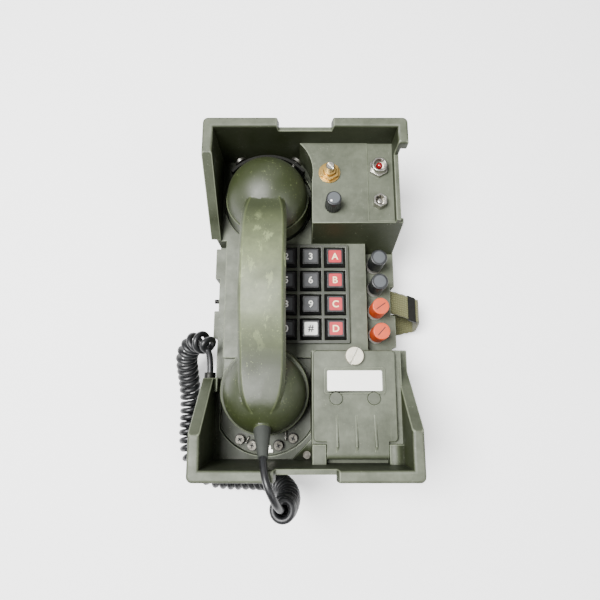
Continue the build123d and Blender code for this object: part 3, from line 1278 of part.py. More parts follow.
with BuildPart() as strap_fittings:
    flat_run(CLIP_LINE, STRAP_W / 2 + CLIP_T, STRAP_TOP_Z - CLIP_T, STRAP_TOP_Z + STRAP_T + CLIP_T)
    flat_run(CLIP_HOLE, STRAP_W / 2 + RUN, STRAP_TOP_Z - RUN, STRAP_TOP_Z + STRAP_T + RUN, mode=Mode.SUBTRACT)
    # bar end on the left wall
    with Locations(Location((-HALF_W - STUD_OUT, STRAP_TOP_Y, LEDGE_Z - 2 * SKIN), (0, 90, 0))):
        Cylinder(STUD_D / 2, STUD_OUT + WALL, align=UPRIGHT)
save(strap_fittings, "strap_fittings")
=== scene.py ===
"""Looks of a field telephone: paint, mouldings, key legends, curly cord, webbing loop and fittings."""

import json
from math import cos, pi, radians, sin

import bmesh
import bpy
from bpy.props import FloatProperty, FloatVectorProperty, IntProperty, PointerProperty
from mathutils import Matrix, Vector

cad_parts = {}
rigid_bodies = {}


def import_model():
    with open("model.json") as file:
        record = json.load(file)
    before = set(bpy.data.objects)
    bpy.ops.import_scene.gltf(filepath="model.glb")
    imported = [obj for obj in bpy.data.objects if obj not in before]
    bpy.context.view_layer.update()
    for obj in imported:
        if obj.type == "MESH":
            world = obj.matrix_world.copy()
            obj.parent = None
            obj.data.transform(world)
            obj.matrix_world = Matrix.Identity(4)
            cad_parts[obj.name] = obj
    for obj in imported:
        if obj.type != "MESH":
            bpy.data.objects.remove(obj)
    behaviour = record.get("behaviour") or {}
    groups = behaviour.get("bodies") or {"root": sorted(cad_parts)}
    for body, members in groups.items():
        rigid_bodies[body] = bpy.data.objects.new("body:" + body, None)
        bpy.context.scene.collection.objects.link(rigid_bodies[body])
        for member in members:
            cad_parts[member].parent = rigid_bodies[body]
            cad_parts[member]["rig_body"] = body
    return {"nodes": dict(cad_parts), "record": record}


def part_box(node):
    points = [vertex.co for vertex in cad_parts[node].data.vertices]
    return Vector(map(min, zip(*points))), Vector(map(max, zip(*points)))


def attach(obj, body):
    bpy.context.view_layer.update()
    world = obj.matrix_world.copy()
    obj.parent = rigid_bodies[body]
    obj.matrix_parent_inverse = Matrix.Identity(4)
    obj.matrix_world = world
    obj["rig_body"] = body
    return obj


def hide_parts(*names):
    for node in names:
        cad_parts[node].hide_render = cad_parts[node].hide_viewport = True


bl_info = {
    "name": "Field telephone",
    "version": (1, 0, 0),
    "blender": (4, 5, 0),
    "location": "View3D > Sidebar > Telephone",
    "description": "Dresses the solids of a field telephone with paint, legends, cord and webbing",
    "category": "Object",
}

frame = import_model()
MM = 0.001
KEY_ORDER = ("1", "2", "3", "a", "4", "5", "6", "b", "7", "8", "9", "c", "star", "0", "hash", "d")
RED_KEYS = ("a", "b", "c", "d")


def mm(*values):
    """A point given in millimetres."""
    return Vector(values) * MM


def per(size_mm):
    """Scale of a pattern whose features are about as wide as the given size."""
    return 1 / (size_mm * MM)


def linear(hex_value):
    """Linear colour of an sRGB hex value, with its alpha."""
    channels = [int(hex_value[start:start + 2], 16) / 255 for start in (1, 3, 5)]
    return [c / 12.92 if c <= 0.04045 else ((c + 0.055) / 1.055) ** 2.4 for c in channels] + [1.0]


def shade(colour, factor):
    """A colour made darker or lighter by a factor."""
    return [min(c * factor, 1.0) for c in colour[:3]] + [1.0]


def paint_box(label, hex_value):
    """A colour setting with its default."""
    return FloatVectorProperty(
        name=label, description=f"Colour of the {label.lower()}", subtype="COLOR", size=4,
        min=0, max=1, default=linear(hex_value),
    )


class TelephoneColours(bpy.types.PropertyGroup):
    """Colours of the paint and the mouldings."""

    casting: paint_box("Housing paint", "#20260F")
    casting_wear_and_sheen: paint_box("Worn housing paint and painted sheen", "#5B6050")
    handset: paint_box("Handset moulding", "#242B10")
    handset_wear_and_sheen: paint_box("Scuffed handset moulding and painted sheen", "#616A47")
    key_dark: paint_box("Key bodies", "#131314")
    key_face: paint_box("Dark key faces", "#3D3E40")
    key_red: paint_box("Red key faces", "#AC1424")
    key_white: paint_box("White key face", "#FAF9F4")
    orange: paint_box("Orange post caps", "#BF4415")
    black: paint_box("Black mouldings", "#17191B")
    cord: paint_box("Cord jacket", "#0E0F11")
    webbing: paint_box("Webbing", "#75754E")
    label: paint_box("Label film", "#FBFAF5")


class TelephoneSizes(bpy.types.PropertyGroup):
    """Sizes of the pieces that are added to the solids."""

    cord_diameter: FloatProperty(
        name="Cord diameter", description="Outside diameter of the cord's jacket", unit="LENGTH",
        default=4.7 * MM, min=3 * MM, max=6 * MM,
    )
    curl_diameter: FloatProperty(
        name="Curl diameter", description="Outside diameter of the curls", unit="LENGTH",
        default=17.6 * MM, min=12 * MM, max=20 * MM,
    )
    turn_gap: FloatProperty(
        name="Turn gap", description="Free gap between turns where the cord lies straight", unit="LENGTH",
        default=0.75 * MM, min=0.5 * MM, max=2 * MM,
    )
    curl_steps: IntProperty(
        name="Curl steps", description="Control points in each turn of the cord", default=12, min=8, max=24,
    )
    legend_height: FloatProperty(
        name="Legend height", description="Height of the digits on the keys", unit="LENGTH",
        default=5.3 * MM, min=4 * MM, max=9 * MM,
    )
    key_face_width: FloatProperty(
        name="Key face width", description="Width of the coloured face in the top of a key", unit="LENGTH",
        default=9.8 * MM, min=8 * MM, max=11.5 * MM,
    )
    webbing_thickness: FloatProperty(
        name="Webbing thickness", description="Thickness of the woven strap", unit="LENGTH",
        default=1.9 * MM, min=1 * MM, max=2.2 * MM,
    )


# ---- materials ----

def new_material(name):
    """An empty material with its shader and output."""
    material = bpy.data.materials.new(name)
    material.use_nodes = True
    tree = material.node_tree
    tree.nodes.clear()
    shader = tree.nodes.new("ShaderNodeBsdfPrincipled")
    output = tree.nodes.new("ShaderNodeOutputMaterial")
    tree.links.new(shader.outputs["BSDF"], output.inputs["Surface"])
    return material, tree, shader


def add_node(tree, kind, inputs=None, out=0, **settings):
    """Add one node with its settings and its values or links, and give back one of its outputs."""
    node = tree.nodes.new("ShaderNode" + kind)
    for name, value in settings.items():
        setattr(node, name, value)
    for name, value in (inputs or {}).items():
        if isinstance(value, bpy.types.NodeSocket):
            tree.links.new(value, node.inputs[name])
        else:
            node.inputs[name].default_value = value
    return node.outputs[out]


# inputs and output of a Mix node that blends colours
SHARE, FIRST, SECOND, MIXED = 0, 6, 7, 2


def worn_coat(name, base, worn_and_sheen, roughness, grain_mm, ior, dust_and_sheen=0.9, flecks=0.5, edges=0.7, scuffs=0.0,
              pale_above_z=(70, 80), pale_within_y=(62, 54)):
    """A matt coat: paler where it faces up, from dust and a painted sheen, darker on its walls, with rubbed
    flecks and scratches.

    Dust and the painted sheen lie above the heights pale_above_z and nearer to the middle than pale_within_y,
    both in millimetres; elsewhere the dark base stands for painted shade down in the wells, where less dust
    lies too.
    """
    material, tree, shader = new_material(name)
    place = add_node(tree, "TexCoord", out="Object")
    pale = shade(worn_and_sheen, 1.6)
    patches = add_node(tree, "TexNoise", {"Vector": place, "Scale": per(24), "Detail": 5.0, "Roughness": 0.6})
    cloud = add_node(tree, "MapRange", {"Value": patches, "From Min": 0.35, "From Max": 0.68})
    fine = add_node(tree, "TexNoise", {"Vector": place, "Scale": per(3.5), "Detail": 4.0, "Roughness": 0.65})
    mottle = add_node(tree, "MapRange", {
        "Value": fine, "From Min": 0.3, "From Max": 0.7, "To Min": 0.7, "To Max": 1.0,
    })

    # dust and a painted sheen on what faces up, but not down in the wells, which keep the dark base as
    # painted shade
    facing = add_node(tree, "NewGeometry", out="Normal")
    up = add_node(tree, "SeparateXYZ", {"Vector": facing}, out="Z")
    top = add_node(tree, "MapRange", {"Value": up, "From Min": 0.45, "From Max": 0.97, "To Max": dust_and_sheen})
    top = add_node(tree, "Math", {0: top, 1: mottle}, operation="MULTIPLY")
    height = add_node(tree, "SeparateXYZ", {"Vector": place}, out="Z")
    high = add_node(tree, "MapRange", {
        "Value": height, "From Min": pale_above_z[0] * MM, "From Max": pale_above_z[1] * MM,
    })
    along = add_node(tree, "SeparateXYZ", {"Vector": place}, out="Y")
    along = add_node(tree, "Math", {0: along}, operation="ABSOLUTE")
    middle = add_node(tree, "MapRange", {
        "Value": along, "From Min": pale_within_y[0] * MM, "From Max": pale_within_y[1] * MM,
    })
    # the pale shows only up here and in the middle; low down near the ends the dark base is painted shade
    exposed_and_lit = add_node(tree, "Math", {0: high, 1: middle}, operation="MAXIMUM")
    top = add_node(tree, "Math", {0: top, 1: exposed_and_lit}, operation="MULTIPLY")
    colour = add_node(tree, "Mix", {SHARE: top, FIRST: base, SECOND: worn_and_sheen}, MIXED, data_type="RGBA")
    soil = add_node(tree, "MapRange", {"Value": cloud, "To Max": 0.55})
    stain = shade(base, 0.9)
    colour = add_node(tree, "Mix", {SHARE: soil, FIRST: colour, SECOND: stain}, MIXED, data_type="RGBA")

    # rubbed flecks, about a millimetre wide, only where a coarser pattern lets them show
    small = add_node(tree, "TexNoise", {"Vector": place, "Scale": per(1.3), "Detail": 2.0})
    small = add_node(tree, "MapRange", {"Value": small, "From Min": 0.64, "From Max": 0.72})
    coarse = add_node(tree, "TexNoise", {"Vector": place, "Scale": per(15), "Detail": 2.0})
    coarse = add_node(tree, "MapRange", {
        "Value": coarse, "From Min": 0.5, "From Max": 0.62, "To Max": flecks,
    })
    rubbed = add_node(tree, "Math", {0: small, 1: coarse}, operation="MULTIPLY")
    colour = add_node(tree, "Mix", {SHARE: rubbed, FIRST: colour, SECOND: pale}, MIXED, data_type="RGBA")

    # hair scratches along the telephone, drawn coarser than the real ones, a tenth of a millimetre wide
    drawn = add_node(tree, "Mapping", {"Vector": place, "Scale": (1.0, 0.06, 1.0)})
    hair = add_node(tree, "TexNoise", {"Vector": drawn, "Scale": per(0.9), "Detail": 2.0})
    hair = add_node(tree, "MapRange", {
        "Value": hair, "From Min": 0.69, "From Max": 0.75, "To Max": 0.4 * flecks,
    })
    colour = add_node(tree, "Mix", {SHARE: hair, FIRST: colour, SECOND: pale}, MIXED, data_type="RGBA")

    # broad scuffs, some millimetres wide, on the parts above the heights of the pale top, which touch the
    # ground first
    dragged = add_node(tree, "Mapping", {"Vector": place, "Scale": (1.0, 0.45, 1.0)})
    scuff = add_node(tree, "TexNoise", {"Vector": dragged, "Scale": per(9), "Detail": 7.0, "Roughness": 0.72})
    scuff = add_node(tree, "MapRange", {"Value": scuff, "From Min": 0.57, "From Max": 0.61, "To Max": scuffs})
    scuff = add_node(tree, "Math", {0: scuff, 1: high}, operation="MULTIPLY")
    colour = add_node(tree, "Mix", {SHARE: scuff, FIRST: colour, SECOND: pale}, MIXED, data_type="RGBA")

    # outer edges, marked by soften, are painted pale: rubbed where hands and cases touch them, and a painted
    # highlight along the rims
    edge = add_node(tree, "Attribute", out="Fac", attribute_name="rubbed", attribute_type="GEOMETRY")
    edge = add_node(tree, "Math", {0: edge, 1: mottle}, operation="MULTIPLY")
    edge = add_node(tree, "Math", {0: edge, 1: edges}, operation="MULTIPLY")
    colour = add_node(tree, "Mix", {SHARE: edge, FIRST: colour, SECOND: pale}, MIXED, data_type="RGBA")
    tree.links.new(colour, shader.inputs["Base Color"])

    gloss = add_node(tree, "MapRange", {
        "Value": cloud, "To Min": roughness - 0.06, "To Max": roughness + 0.1,
    })
    tree.links.new(gloss, shader.inputs["Roughness"])
    shader.inputs["IOR"].default_value = ior
    grain = add_node(tree, "TexNoise", {"Vector": place, "Scale": per(grain_mm), "Detail": 2.0})
    bumps = add_node(tree, "Bump", {"Height": grain, "Distance": grain_mm * 0.12 * MM, "Strength": 0.5})
    tree.links.new(bumps, shader.inputs["Normal"])
    return material


def moulded(name, base, roughness, ior=1.53, grain_mm=0.5, soil=0.35):
    """A plain moulding with a faint grain and slightly uneven colour."""
    material, tree, shader = new_material(name)
    place = add_node(tree, "TexCoord", out="Object")
    patches = add_node(tree, "TexNoise", {"Vector": place, "Scale": per(6), "Detail": 3.0})
    soiled = add_node(tree, "MapRange", {"Value": patches, "From Min": 0.3, "From Max": 0.75, "To Max": soil})
    dark = shade(base, 0.6)
    colour = add_node(tree, "Mix", {SHARE: soiled, FIRST: base, SECOND: dark}, MIXED, data_type="RGBA")
    tree.links.new(colour, shader.inputs["Base Color"])
    fine = add_node(tree, "TexNoise", {"Vector": place, "Scale": per(2.5), "Detail": 2.0})
    gloss = add_node(tree, "MapRange", {
        "Value": fine, "From Min": 0.3, "From Max": 0.7,
        "To Min": roughness - 0.05, "To Max": roughness + 0.08,
    })
    tree.links.new(gloss, shader.inputs["Roughness"])
    shader.inputs["IOR"].default_value = ior
    grain = add_node(tree, "TexNoise", {"Vector": place, "Scale": per(grain_mm), "Detail": 2.0})
    bumps = add_node(tree, "Bump", {"Height": grain, "Distance": grain_mm * 0.1 * MM, "Strength": 0.35})
    tree.links.new(bumps, shader.inputs["Normal"])
    return material


def machined(name, base, roughness, tarnish=0.25):
    """Turned or spun metal with fine tool lines and a dull film in patches."""
    material, tree, shader = new_material(name)
    place = add_node(tree, "TexCoord", out="Object")
    patches = add_node(tree, "TexNoise", {"Vector": place, "Scale": per(3), "Detail": 3.0})
    film = add_node(tree, "MapRange", {"Value": patches, "From Min": 0.4, "From Max": 0.7, "To Max": tarnish})
    dull = shade(base, 0.4)
    colour = add_node(tree, "Mix", {SHARE: film, FIRST: base, SECOND: dull}, MIXED, data_type="RGBA")
    tree.links.new(colour, shader.inputs["Base Color"])
    gloss = add_node(tree, "MapRange", {"Value": film, "To Min": roughness, "To Max": roughness + 0.35})
    tree.links.new(gloss, shader.inputs["Roughness"])
    shader.inputs["Metallic"].default_value = 1.0
    # tool lines, drawn a third of a millimetre apart because the real ones are too fine to show
    turned = add_node(tree, "Mapping", {"Vector": place, "Scale": (0.15, 0.15, 1.0)})
    lines = add_node(tree, "TexNoise", {"Vector": turned, "Scale": per(0.35), "Detail": 1.0})
    bumps = add_node(tree, "Bump", {"Height": lines, "Distance": 0.02 * MM, "Strength": 0.25})
    tree.links.new(bumps, shader.inputs["Normal"])
    return material


# a wave texture at scale 1 repeats after this length
WAVE_PERIOD = 0.314


def woven(name, base, rib_mm=1.6, warp_mm=1.9):
    """Cotton webbing: ribs across the band and threads along it, on the piece's own UV map in metres."""
    material, tree, shader = new_material(name)
    thread = add_node(tree, "TexCoord", out="UV")
    across = add_node(tree, "TexWave", {
        "Vector": thread, "Scale": WAVE_PERIOD * per(rib_mm), "Distortion": 0.6, "Detail": 1.0,
    }, "Fac", bands_direction="Y")
    along = add_node(tree, "TexWave", {
        "Vector": thread, "Scale": WAVE_PERIOD * per(warp_mm), "Distortion": 0.4, "Detail": 1.0,
    }, "Fac", bands_direction="X")
    weave = add_node(tree, "Math", {0: across, 1: along}, operation="MULTIPLY")
    place = add_node(tree, "TexCoord", out="Object")
    patches = add_node(tree, "TexNoise", {"Vector": place, "Scale": per(9), "Detail": 3.0})
    dirty = add_node(tree, "MapRange", {"Value": patches, "From Min": 0.35, "From Max": 0.7, "To Max": 0.6})
    # the weave is darker between the threads: painted shade in the hollows of the weave
    gap_shade, dirt = shade(base, 0.45), shade(base, 0.5)
    colour = add_node(tree, "Mix", {SHARE: weave, FIRST: gap_shade, SECOND: base}, MIXED, data_type="RGBA")
    colour = add_node(tree, "Mix", {SHARE: dirty, FIRST: colour, SECOND: dirt}, MIXED, data_type="RGBA")
    tree.links.new(colour, shader.inputs["Base Color"])
    shader.inputs["Roughness"].default_value = 0.92
    shader.inputs["Sheen Weight"].default_value = 0.25
    bumps = add_node(tree, "Bump", {"Height": weave, "Distance": 0.35 * MM, "Strength": 0.7})
    tree.links.new(bumps, shader.inputs["Normal"])
    return material


def red_lens(name):
    """Red acrylic lens: deep red with a polished face."""
    material, tree, shader = new_material(name)
    place = add_node(tree, "TexCoord", out="Object")
    patches = add_node(tree, "TexNoise", {"Vector": place, "Scale": per(1.5), "Detail": 1.0})
    share = add_node(tree, "MapRange", {"Value": patches, "From Min": 0.3, "From Max": 0.7, "To Max": 0.4})
    bright, deep = linear("#7C0F14"), linear("#3C0306")
    colour = add_node(tree, "Mix", {SHARE: share, FIRST: bright, SECOND: deep}, MIXED, data_type="RGBA")
    tree.links.new(colour, shader.inputs["Base Color"])
    shader.inputs["Roughness"].default_value = 0.12
    shader.inputs["IOR"].default_value = 1.49
    shader.inputs["Coat Weight"].default_value = 0.6
    return material


def make_finishes(colours):
    """Every finish of the object, by the name of its material slot."""
    casting, casting_wear_and_sheen = list(colours.casting), list(colours.casting_wear_and_sheen)
    handset, handset_wear_and_sheen = list(colours.handset), list(colours.handset_wear_and_sheen)
    return {
        # sand-cast aluminium under sprayed olive enamel: matt, a little rough, paler where it faces up from
        # dust and a painted sheen
        "housing_paint": worn_coat(
            "Enamelled aluminium, cast and sprayed", casting, casting_wear_and_sheen, 0.55, 0.8, 1.52),
        # pressed steel in the same enamel, its colours darkened to nearly black by painted shade between the
        # keys
        "bezel": worn_coat(
            "Enamelled steel, pressed", shade(casting, 0.5), shade(casting_wear_and_sheen, 0.4), 0.45, 0.5, 1.52),
        # phenolic is dense and takes a dull polish from hands, with pale scuffs on the grip, and a top paler
        # from dust and a painted sheen
        "handset_plastic": worn_coat(
            "Phenolic, compression moulded", handset, handset_wear_and_sheen, 0.52, 0.5, 1.6, dust_and_sheen=0.95, flecks=0.8,
            edges=0.15, scuffs=0.6, pale_above_z=(106, 116), pale_within_y=(2, 0)),
        # ABS keys: satin, with a fine moulded grain
        "key_dark": moulded("ABS, dark, moulded", list(colours.key_dark), 0.4),
        "key_face": moulded("ABS, charcoal, moulded", list(colours.key_face), 0.45),
        "key_red": moulded("ABS, red, moulded", list(colours.key_red), 0.42),
        "key_white": moulded("ABS, white, moulded", list(colours.key_white), 0.45, soil=0.1),
        # nylon caps and knobs: satin, with soft highlights
        "black_plastic": moulded("Nylon, black, moulded", list(colours.black), 0.42),
        # grey for the knob's cap, and painted sheen on the tops of the black posts
        "grey_plastic": moulded("Nylon, grey, moulded, and painted sheen", linear("#43474A"), 0.5),
        "orange_plastic": moulded("Nylon, orange, moulded", list(colours.orange), 0.45),
        # bare metals keep their tool lines under a thin dull film
        "steel": machined("Stainless steel, turned", linear("#B4B2AA"), 0.3),
        "dull_steel": machined("Steel, zinc plated", linear("#54524C"), 0.42, 0.6),
        "dark_metal": machined("Steel, blackened", linear("#2A2A28"), 0.45, 0.4),
        "brass": machined("Brass, turned", linear("#B8985A"), 0.34, 0.5),
        "capsule": machined("Aluminium, spun", linear("#A9A9A4"), 0.4),
        # small steel parts in enamel: satin, rubbed like the housing
        "grey_metal": worn_coat(
            "Enamelled steel, turned", casting, shade(casting_wear_and_sheen, 0.8), 0.45, 0.5, 1.52),
        "cream_metal": worn_coat(
            "Enamelled steel, cream, turned", linear("#8F8A76"), linear("#E4DFCB"), 0.4, 0.5, 1.5,
            flecks=0.3),
        "red_lens": red_lens("Acrylic, red, polished"),
        # neoprene: matt, black on the cord and greyer on the boot
        "rubber": moulded("Neoprene, moulded", linear("#131313"), 0.7, 1.52, 0.4),
        "boot_rubber": moulded("Neoprene, grey, moulded", linear("#30332F"), 0.55, 1.52, 0.4),
        "cord_rubber": moulded("Neoprene, black, extruded", list(colours.cord), 0.42, 1.52, 0.5),
        # printed film, laminate and sleeves: smooth and even
        "label": moulded("Polyester film, printed", list(colours.label), 0.5, 1.57, 0.4, 0.08),
        "board": moulded("Epoxy laminate, etched", linear("#1F5A2C"), 0.4, 1.55),
        "cell": moulded("Steel sleeve, printed", linear("#2E3A63"), 0.35),
        # cotton threads: dull, with a soft bloom at the edges
        "webbing": woven("Cotton webbing, woven", list(colours.webbing)),
        # legends are printed ink, a little raised
        "legend": moulded("Legend ink, white", linear("#F0EEE6"), 0.5, 1.5, 0.4, 0.04),
        "legend_dark": moulded("Legend ink, dark", linear("#1C1C1B"), 0.5, 1.5, 0.4, 0.04),
        "legend_pale": moulded("Legend ink, yellow-white", linear("#F2DDAE"), 0.5, 1.5, 0.4, 0.04),
    }


# every finish by name, filled by the finishes operator
FINISH = {}
# solids that look different from the rest of their slot
OTHER_FINISH = {"cradle_screws": "dull_steel", "door_buttons": "grey_metal"}


def wear(obj, slot):
    """Give a piece the finish of the named slot."""
    obj.data.materials.clear()
    obj.data.materials.append(FINISH[slot])


# ---- modelling helpers ----

# edges that turn by more than this stay sharp on the added pieces, and are rounded on the castings
SHARP_ANGLE, ROUND_ANGLE = radians(35), radians(32)
# loose corners of a solid's triangles that lie this near are one corner
SAME_PLACE = 0.004 * MM
FLAT_ANGLE = radians(0.6)


def link(name, data):
    """An object with its data, in the scene."""
    piece = bpy.data.objects.new(name, data)
    bpy.context.scene.collection.objects.link(piece)
    return piece


def mesh_of(holder):
    """Mesh of a curve or text object, which is then removed."""
    bpy.context.view_layer.update()
    mesh = bpy.data.meshes.new_from_object(holder.evaluated_get(bpy.context.evaluated_depsgraph_get()))
    bpy.data.objects.remove(holder)
    return mesh


def finish_piece(bm, name, slot, body, smooth=True):
    """Turn a bmesh into a piece with its finish, riding on a body."""
    bmesh.ops.recalc_face_normals(bm, faces=bm.faces)
    mesh = bpy.data.meshes.new(name)
    bm.to_mesh(mesh)
    bm.free()
    if smooth:
        mesh.shade_smooth()
        mesh.set_sharp_from_angle(angle=SHARP_ANGLE)
    piece = link(name, mesh)
    wear(piece, slot)
    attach(piece, body)
    return piece


def soften(node, width_mm, slot):
    """Stand a copy with rounded outer edges in place of a CAD node, and mark those edges to be painted pale,
    as rubbed wear and a painted highlight.
    """
    source = frame["nodes"][node]
    bm = bmesh.new()
    bm.from_mesh(source.data)
    bmesh.ops.remove_doubles(bm, verts=bm.verts, dist=SAME_PLACE)
    bmesh.ops.dissolve_limit(bm, angle_limit=FLAT_ANGLE, verts=bm.verts, edges=bm.edges)
    outer = [e for e in bm.edges if len(e.link_faces) == 2 and e.calc_face_angle_signed() > ROUND_ANGLE]
    # the rounding's faces get painted pale: partly rubbed wear, partly a painted highlight
    rubbed = bm.faces.layers.float.new("rubbed")
    made = bmesh.ops.bevel(
        bm, geom=outer, offset=width_mm * MM, offset_type="OFFSET", affect="EDGES",
        segments=2, profile=0.5, clamp_overlap=False, material=-1,
    )
    for face in made["faces"]:
        face[rubbed] = 1.0
    mesh = bpy.data.meshes.new(node + "_rounded")
    bm.to_mesh(mesh)
    bm.free()
    mesh.shade_smooth()
    mesh.set_sharp_from_angle(angle=ROUND_ANGLE)
    piece = link(node + "_rounded", mesh)
    flats = piece.modifiers.new("Flat faces stay flat", "WEIGHTED_NORMAL")
    flats.keep_sharp = True
    wear(piece, slot)
    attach(piece, source["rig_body"])
    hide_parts(node)


def top_middle(node):
    """Middle of the top of a CAD node's box."""
    low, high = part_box(node)
    return Vector(((low.x + high.x) / 2, (low.y + high.y) / 2, high.z))


def disc(bm, centre, radius, height, segments=32):
    """Add a short upright cylinder to a bmesh, standing on a point."""
    bmesh.ops.create_cone(
        bm, cap_ends=True, segments=segments, radius1=radius, radius2=radius, depth=height,
        matrix=Matrix.Translation(centre + Vector((0, 0, height / 2))),
    )


def bar(bm, centre, size, turn=0.0, corner=0.0):
    """Add a straight bar to a bmesh, turned about Z, with rounded upright corners."""
    matrix = Matrix.Translation(centre) @ Matrix.Rotation(turn, 4, "Z") @ Matrix.Diagonal((*size, 1.0))
    verts = bmesh.ops.create_cube(bm, size=1.0, matrix=matrix)["verts"]
    if corner:
        edges = {edge for vert in verts for edge in vert.link_edges}
        upright = [e for e in edges if abs(e.verts[0].co.z - e.verts[1].co.z) > 0.9 * size[2]]
        bmesh.ops.bevel(
            bm, geom=upright, offset=corner, offset_type="OFFSET", affect="EDGES",
            segments=3, profile=0.5, material=-1,
        )


def rod(bm, start, end, radius, segments):
    """Add a round rod to a bmesh between two points."""
    way = end - start
    matrix = Matrix.Translation((start + end) / 2) @ way.to_track_quat("Z", "Y").to_matrix().to_4x4()
    bmesh.ops.create_cone(
        bm, cap_ends=True, segments=segments, radius1=radius, radius2=radius, depth=way.length, matrix=matrix,
    )


def spline_curve(name, points, radius=0.0):
    """A curve object with one smooth spline on control points, round and capped where it has a radius."""
    curve = bpy.data.curves.new(name, "CURVE")
    curve.dimensions = "3D"
    curve.resolution_u = 12
    spline = curve.splines.new("NURBS")
    spline.points.add(len(points) - 1)
    for target, point in zip(spline.points, points):
        target.co = (*point, 1.0)
    spline.order_u = 3
    spline.use_endpoint_u = True
    curve.bevel_depth = radius
    curve.use_fill_caps = radius > 0
    return link(name, curve)


# ---- operators ----

class TELEPHONE_OT_finishes(bpy.types.Operator):
    """Make every finish and give each solid its own"""

    bl_idname = "telephone.finishes"
    bl_label = "Finishes"

    def execute(self, context):
        FINISH.update(make_finishes(context.scene.telephone_colours))
        for entry in frame["record"]["subparts"]:
            node = frame["nodes"][entry["node"]]
            node.data.materials.clear()
            node.data.materials.append(FINISH[OTHER_FINISH.get(entry["node"], entry["material_slot"])])
        return {"FINISHED"}


# solids with rounded outer edges: the width of the rounding in millimetres, and the finish
ROUNDED = (
    ("housing", 0.7, "housing_paint"), ("battery_door", 0.35, "housing_paint"),
    ("handset_shell", 0.8, "handset_plastic"), ("ear_cap", 0.7, "handset_plastic"),
    ("mouth_cap", 0.7, "handset_plastic"), ("thumbscrew", 0.25, "cream_metal"),
    ("mode_nut", 0.2, "brass"), ("led_bezel", 0.25, "steel"), ("push_bushing", 0.2, "steel"),
    ("hook_plate", 0.3, "housing_paint"), ("keypad_bezel", 0.2, "bezel"),
    ("volume_knob", 0.1, "black_plastic"),
)
KEY_ROUNDING = 0.3


class TELEPHONE_OT_rounded_castings(bpy.types.Operator):
    """Round the edges of the castings and the larger mouldings"""

    bl_idname = "telephone.rounded_castings"
    bl_label = "Rounded castings"

    def execute(self, context):
        for node, width_mm, slot in ROUNDED:
            soften(node, width_mm, slot)
        for key in KEY_ORDER:
            soften("key_" + key, KEY_ROUNDING, "key_dark")
        return {"FINISHED"}


FACE_PROUD = 0.12 * MM      # key faces above their keys
FACE_CORNER = 0.9 * MM
CAPITAL_SHARE = 0.72        # a capital's height over its font's size
LEGEND_BOLD = 0.12 * MM     # how much the strokes are thickened
LEGEND_DEPTH = 0.03 * MM


class TELEPHONE_OT_key_legends(bpy.types.Operator):
    """Set a coloured face in each key and print a digit or a letter on it"""

    bl_idname = "telephone.key_legends"
    bl_label = "Key faces and legends"

    def execute(self, context):
        sizes = context.scene.telephone_sizes
        for key in KEY_ORDER:
            middle = top_middle("key_" + key)
            face, ink = "key_face", "legend"
            if key in RED_KEYS:
                face, ink = "key_red", "legend_pale"
            elif key == "hash":
                face, ink = "key_white", "legend_dark"
            bm = bmesh.new()
            width = sizes.key_face_width
            bar(bm, middle, (width, width, 2 * FACE_PROUD), corner=FACE_CORNER)
            finish_piece(bm, "face_" + key, face, "key_" + key)
            text = bpy.data.curves.new("legend_" + key, "FONT")
            text.body = {"star": "*", "hash": "#"}.get(key, key.upper())
            text.size = sizes.legend_height / CAPITAL_SHARE
            text.offset = LEGEND_BOLD
            text.extrude = LEGEND_DEPTH
            mesh = mesh_of(link("legend_" + key, text))
            corners = [v.co for v in mesh.vertices]
            centre = Vector([(max(c[i] for c in corners) + min(c[i] for c in corners)) / 2 for i in range(3)])
            mesh.transform(Matrix.Translation(middle + Vector((0, 0, FACE_PROUD)) - centre))
            piece = link("legend_" + key, mesh)
            wear(piece, ink)
            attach(piece, "key_" + key)
        return {"FINISHED"}


# trim of the controls: radii and heights in millimetres
KNOB_CAP = (4.3, 0.35)
KNOB_DOT = (0.75, 0.12)
KNOB_DOT_AT = (-1.9, -2.1)      # from the knob's middle
# radius and height of the grey disc on a black post's top: painted sheen
POST_SHEEN_DISC = (4.6, 0.25)
POST_LINE = (8.4, 0.7, 0.1)     # length, width and height of the line on an orange cap
POST_LINE_TURN = 12             # degrees, for each post in turn
BLACK_POSTS = (1, 2)


class TELEPHONE_OT_control_trim(bpy.types.Operator):
    """Add the knob's cap and dot, grey discs of painted sheen on the tops of the black posts, and the lines
    on the orange ones
    """

    bl_idname = "telephone.control_trim"
    bl_label = "Control trim"

    def execute(self, context):
        middle = top_middle("volume_knob")
        bm = bmesh.new()
        disc(bm, middle, KNOB_CAP[0] * MM, KNOB_CAP[1] * MM)
        finish_piece(bm, "knob_cap", "grey_plastic", "volume_knob")
        bm = bmesh.new()
        disc(bm, middle + mm(*KNOB_DOT_AT, KNOB_CAP[1]), KNOB_DOT[0] * MM, KNOB_DOT[1] * MM, 16)
        finish_piece(bm, "knob_dot", "label", "volume_knob")
        for index in range(1, 5):
            node = f"post_cap_{index}"
            bm = bmesh.new()
            if index in BLACK_POSTS:
                # painted sheen: a grey disc on the black post's top
                disc(bm, top_middle(node), POST_SHEEN_DISC[0] * MM, POST_SHEEN_DISC[1] * MM)
                finish_piece(bm, f"post_sheen_disc_{index}", "grey_plastic", node)
            else:
                bar(bm, top_middle(node), mm(*POST_LINE), radians(POST_LINE_TURN * index))
                finish_piece(bm, f"post_line_{index}", "black_plastic", node)
        return {"FINISHED"}


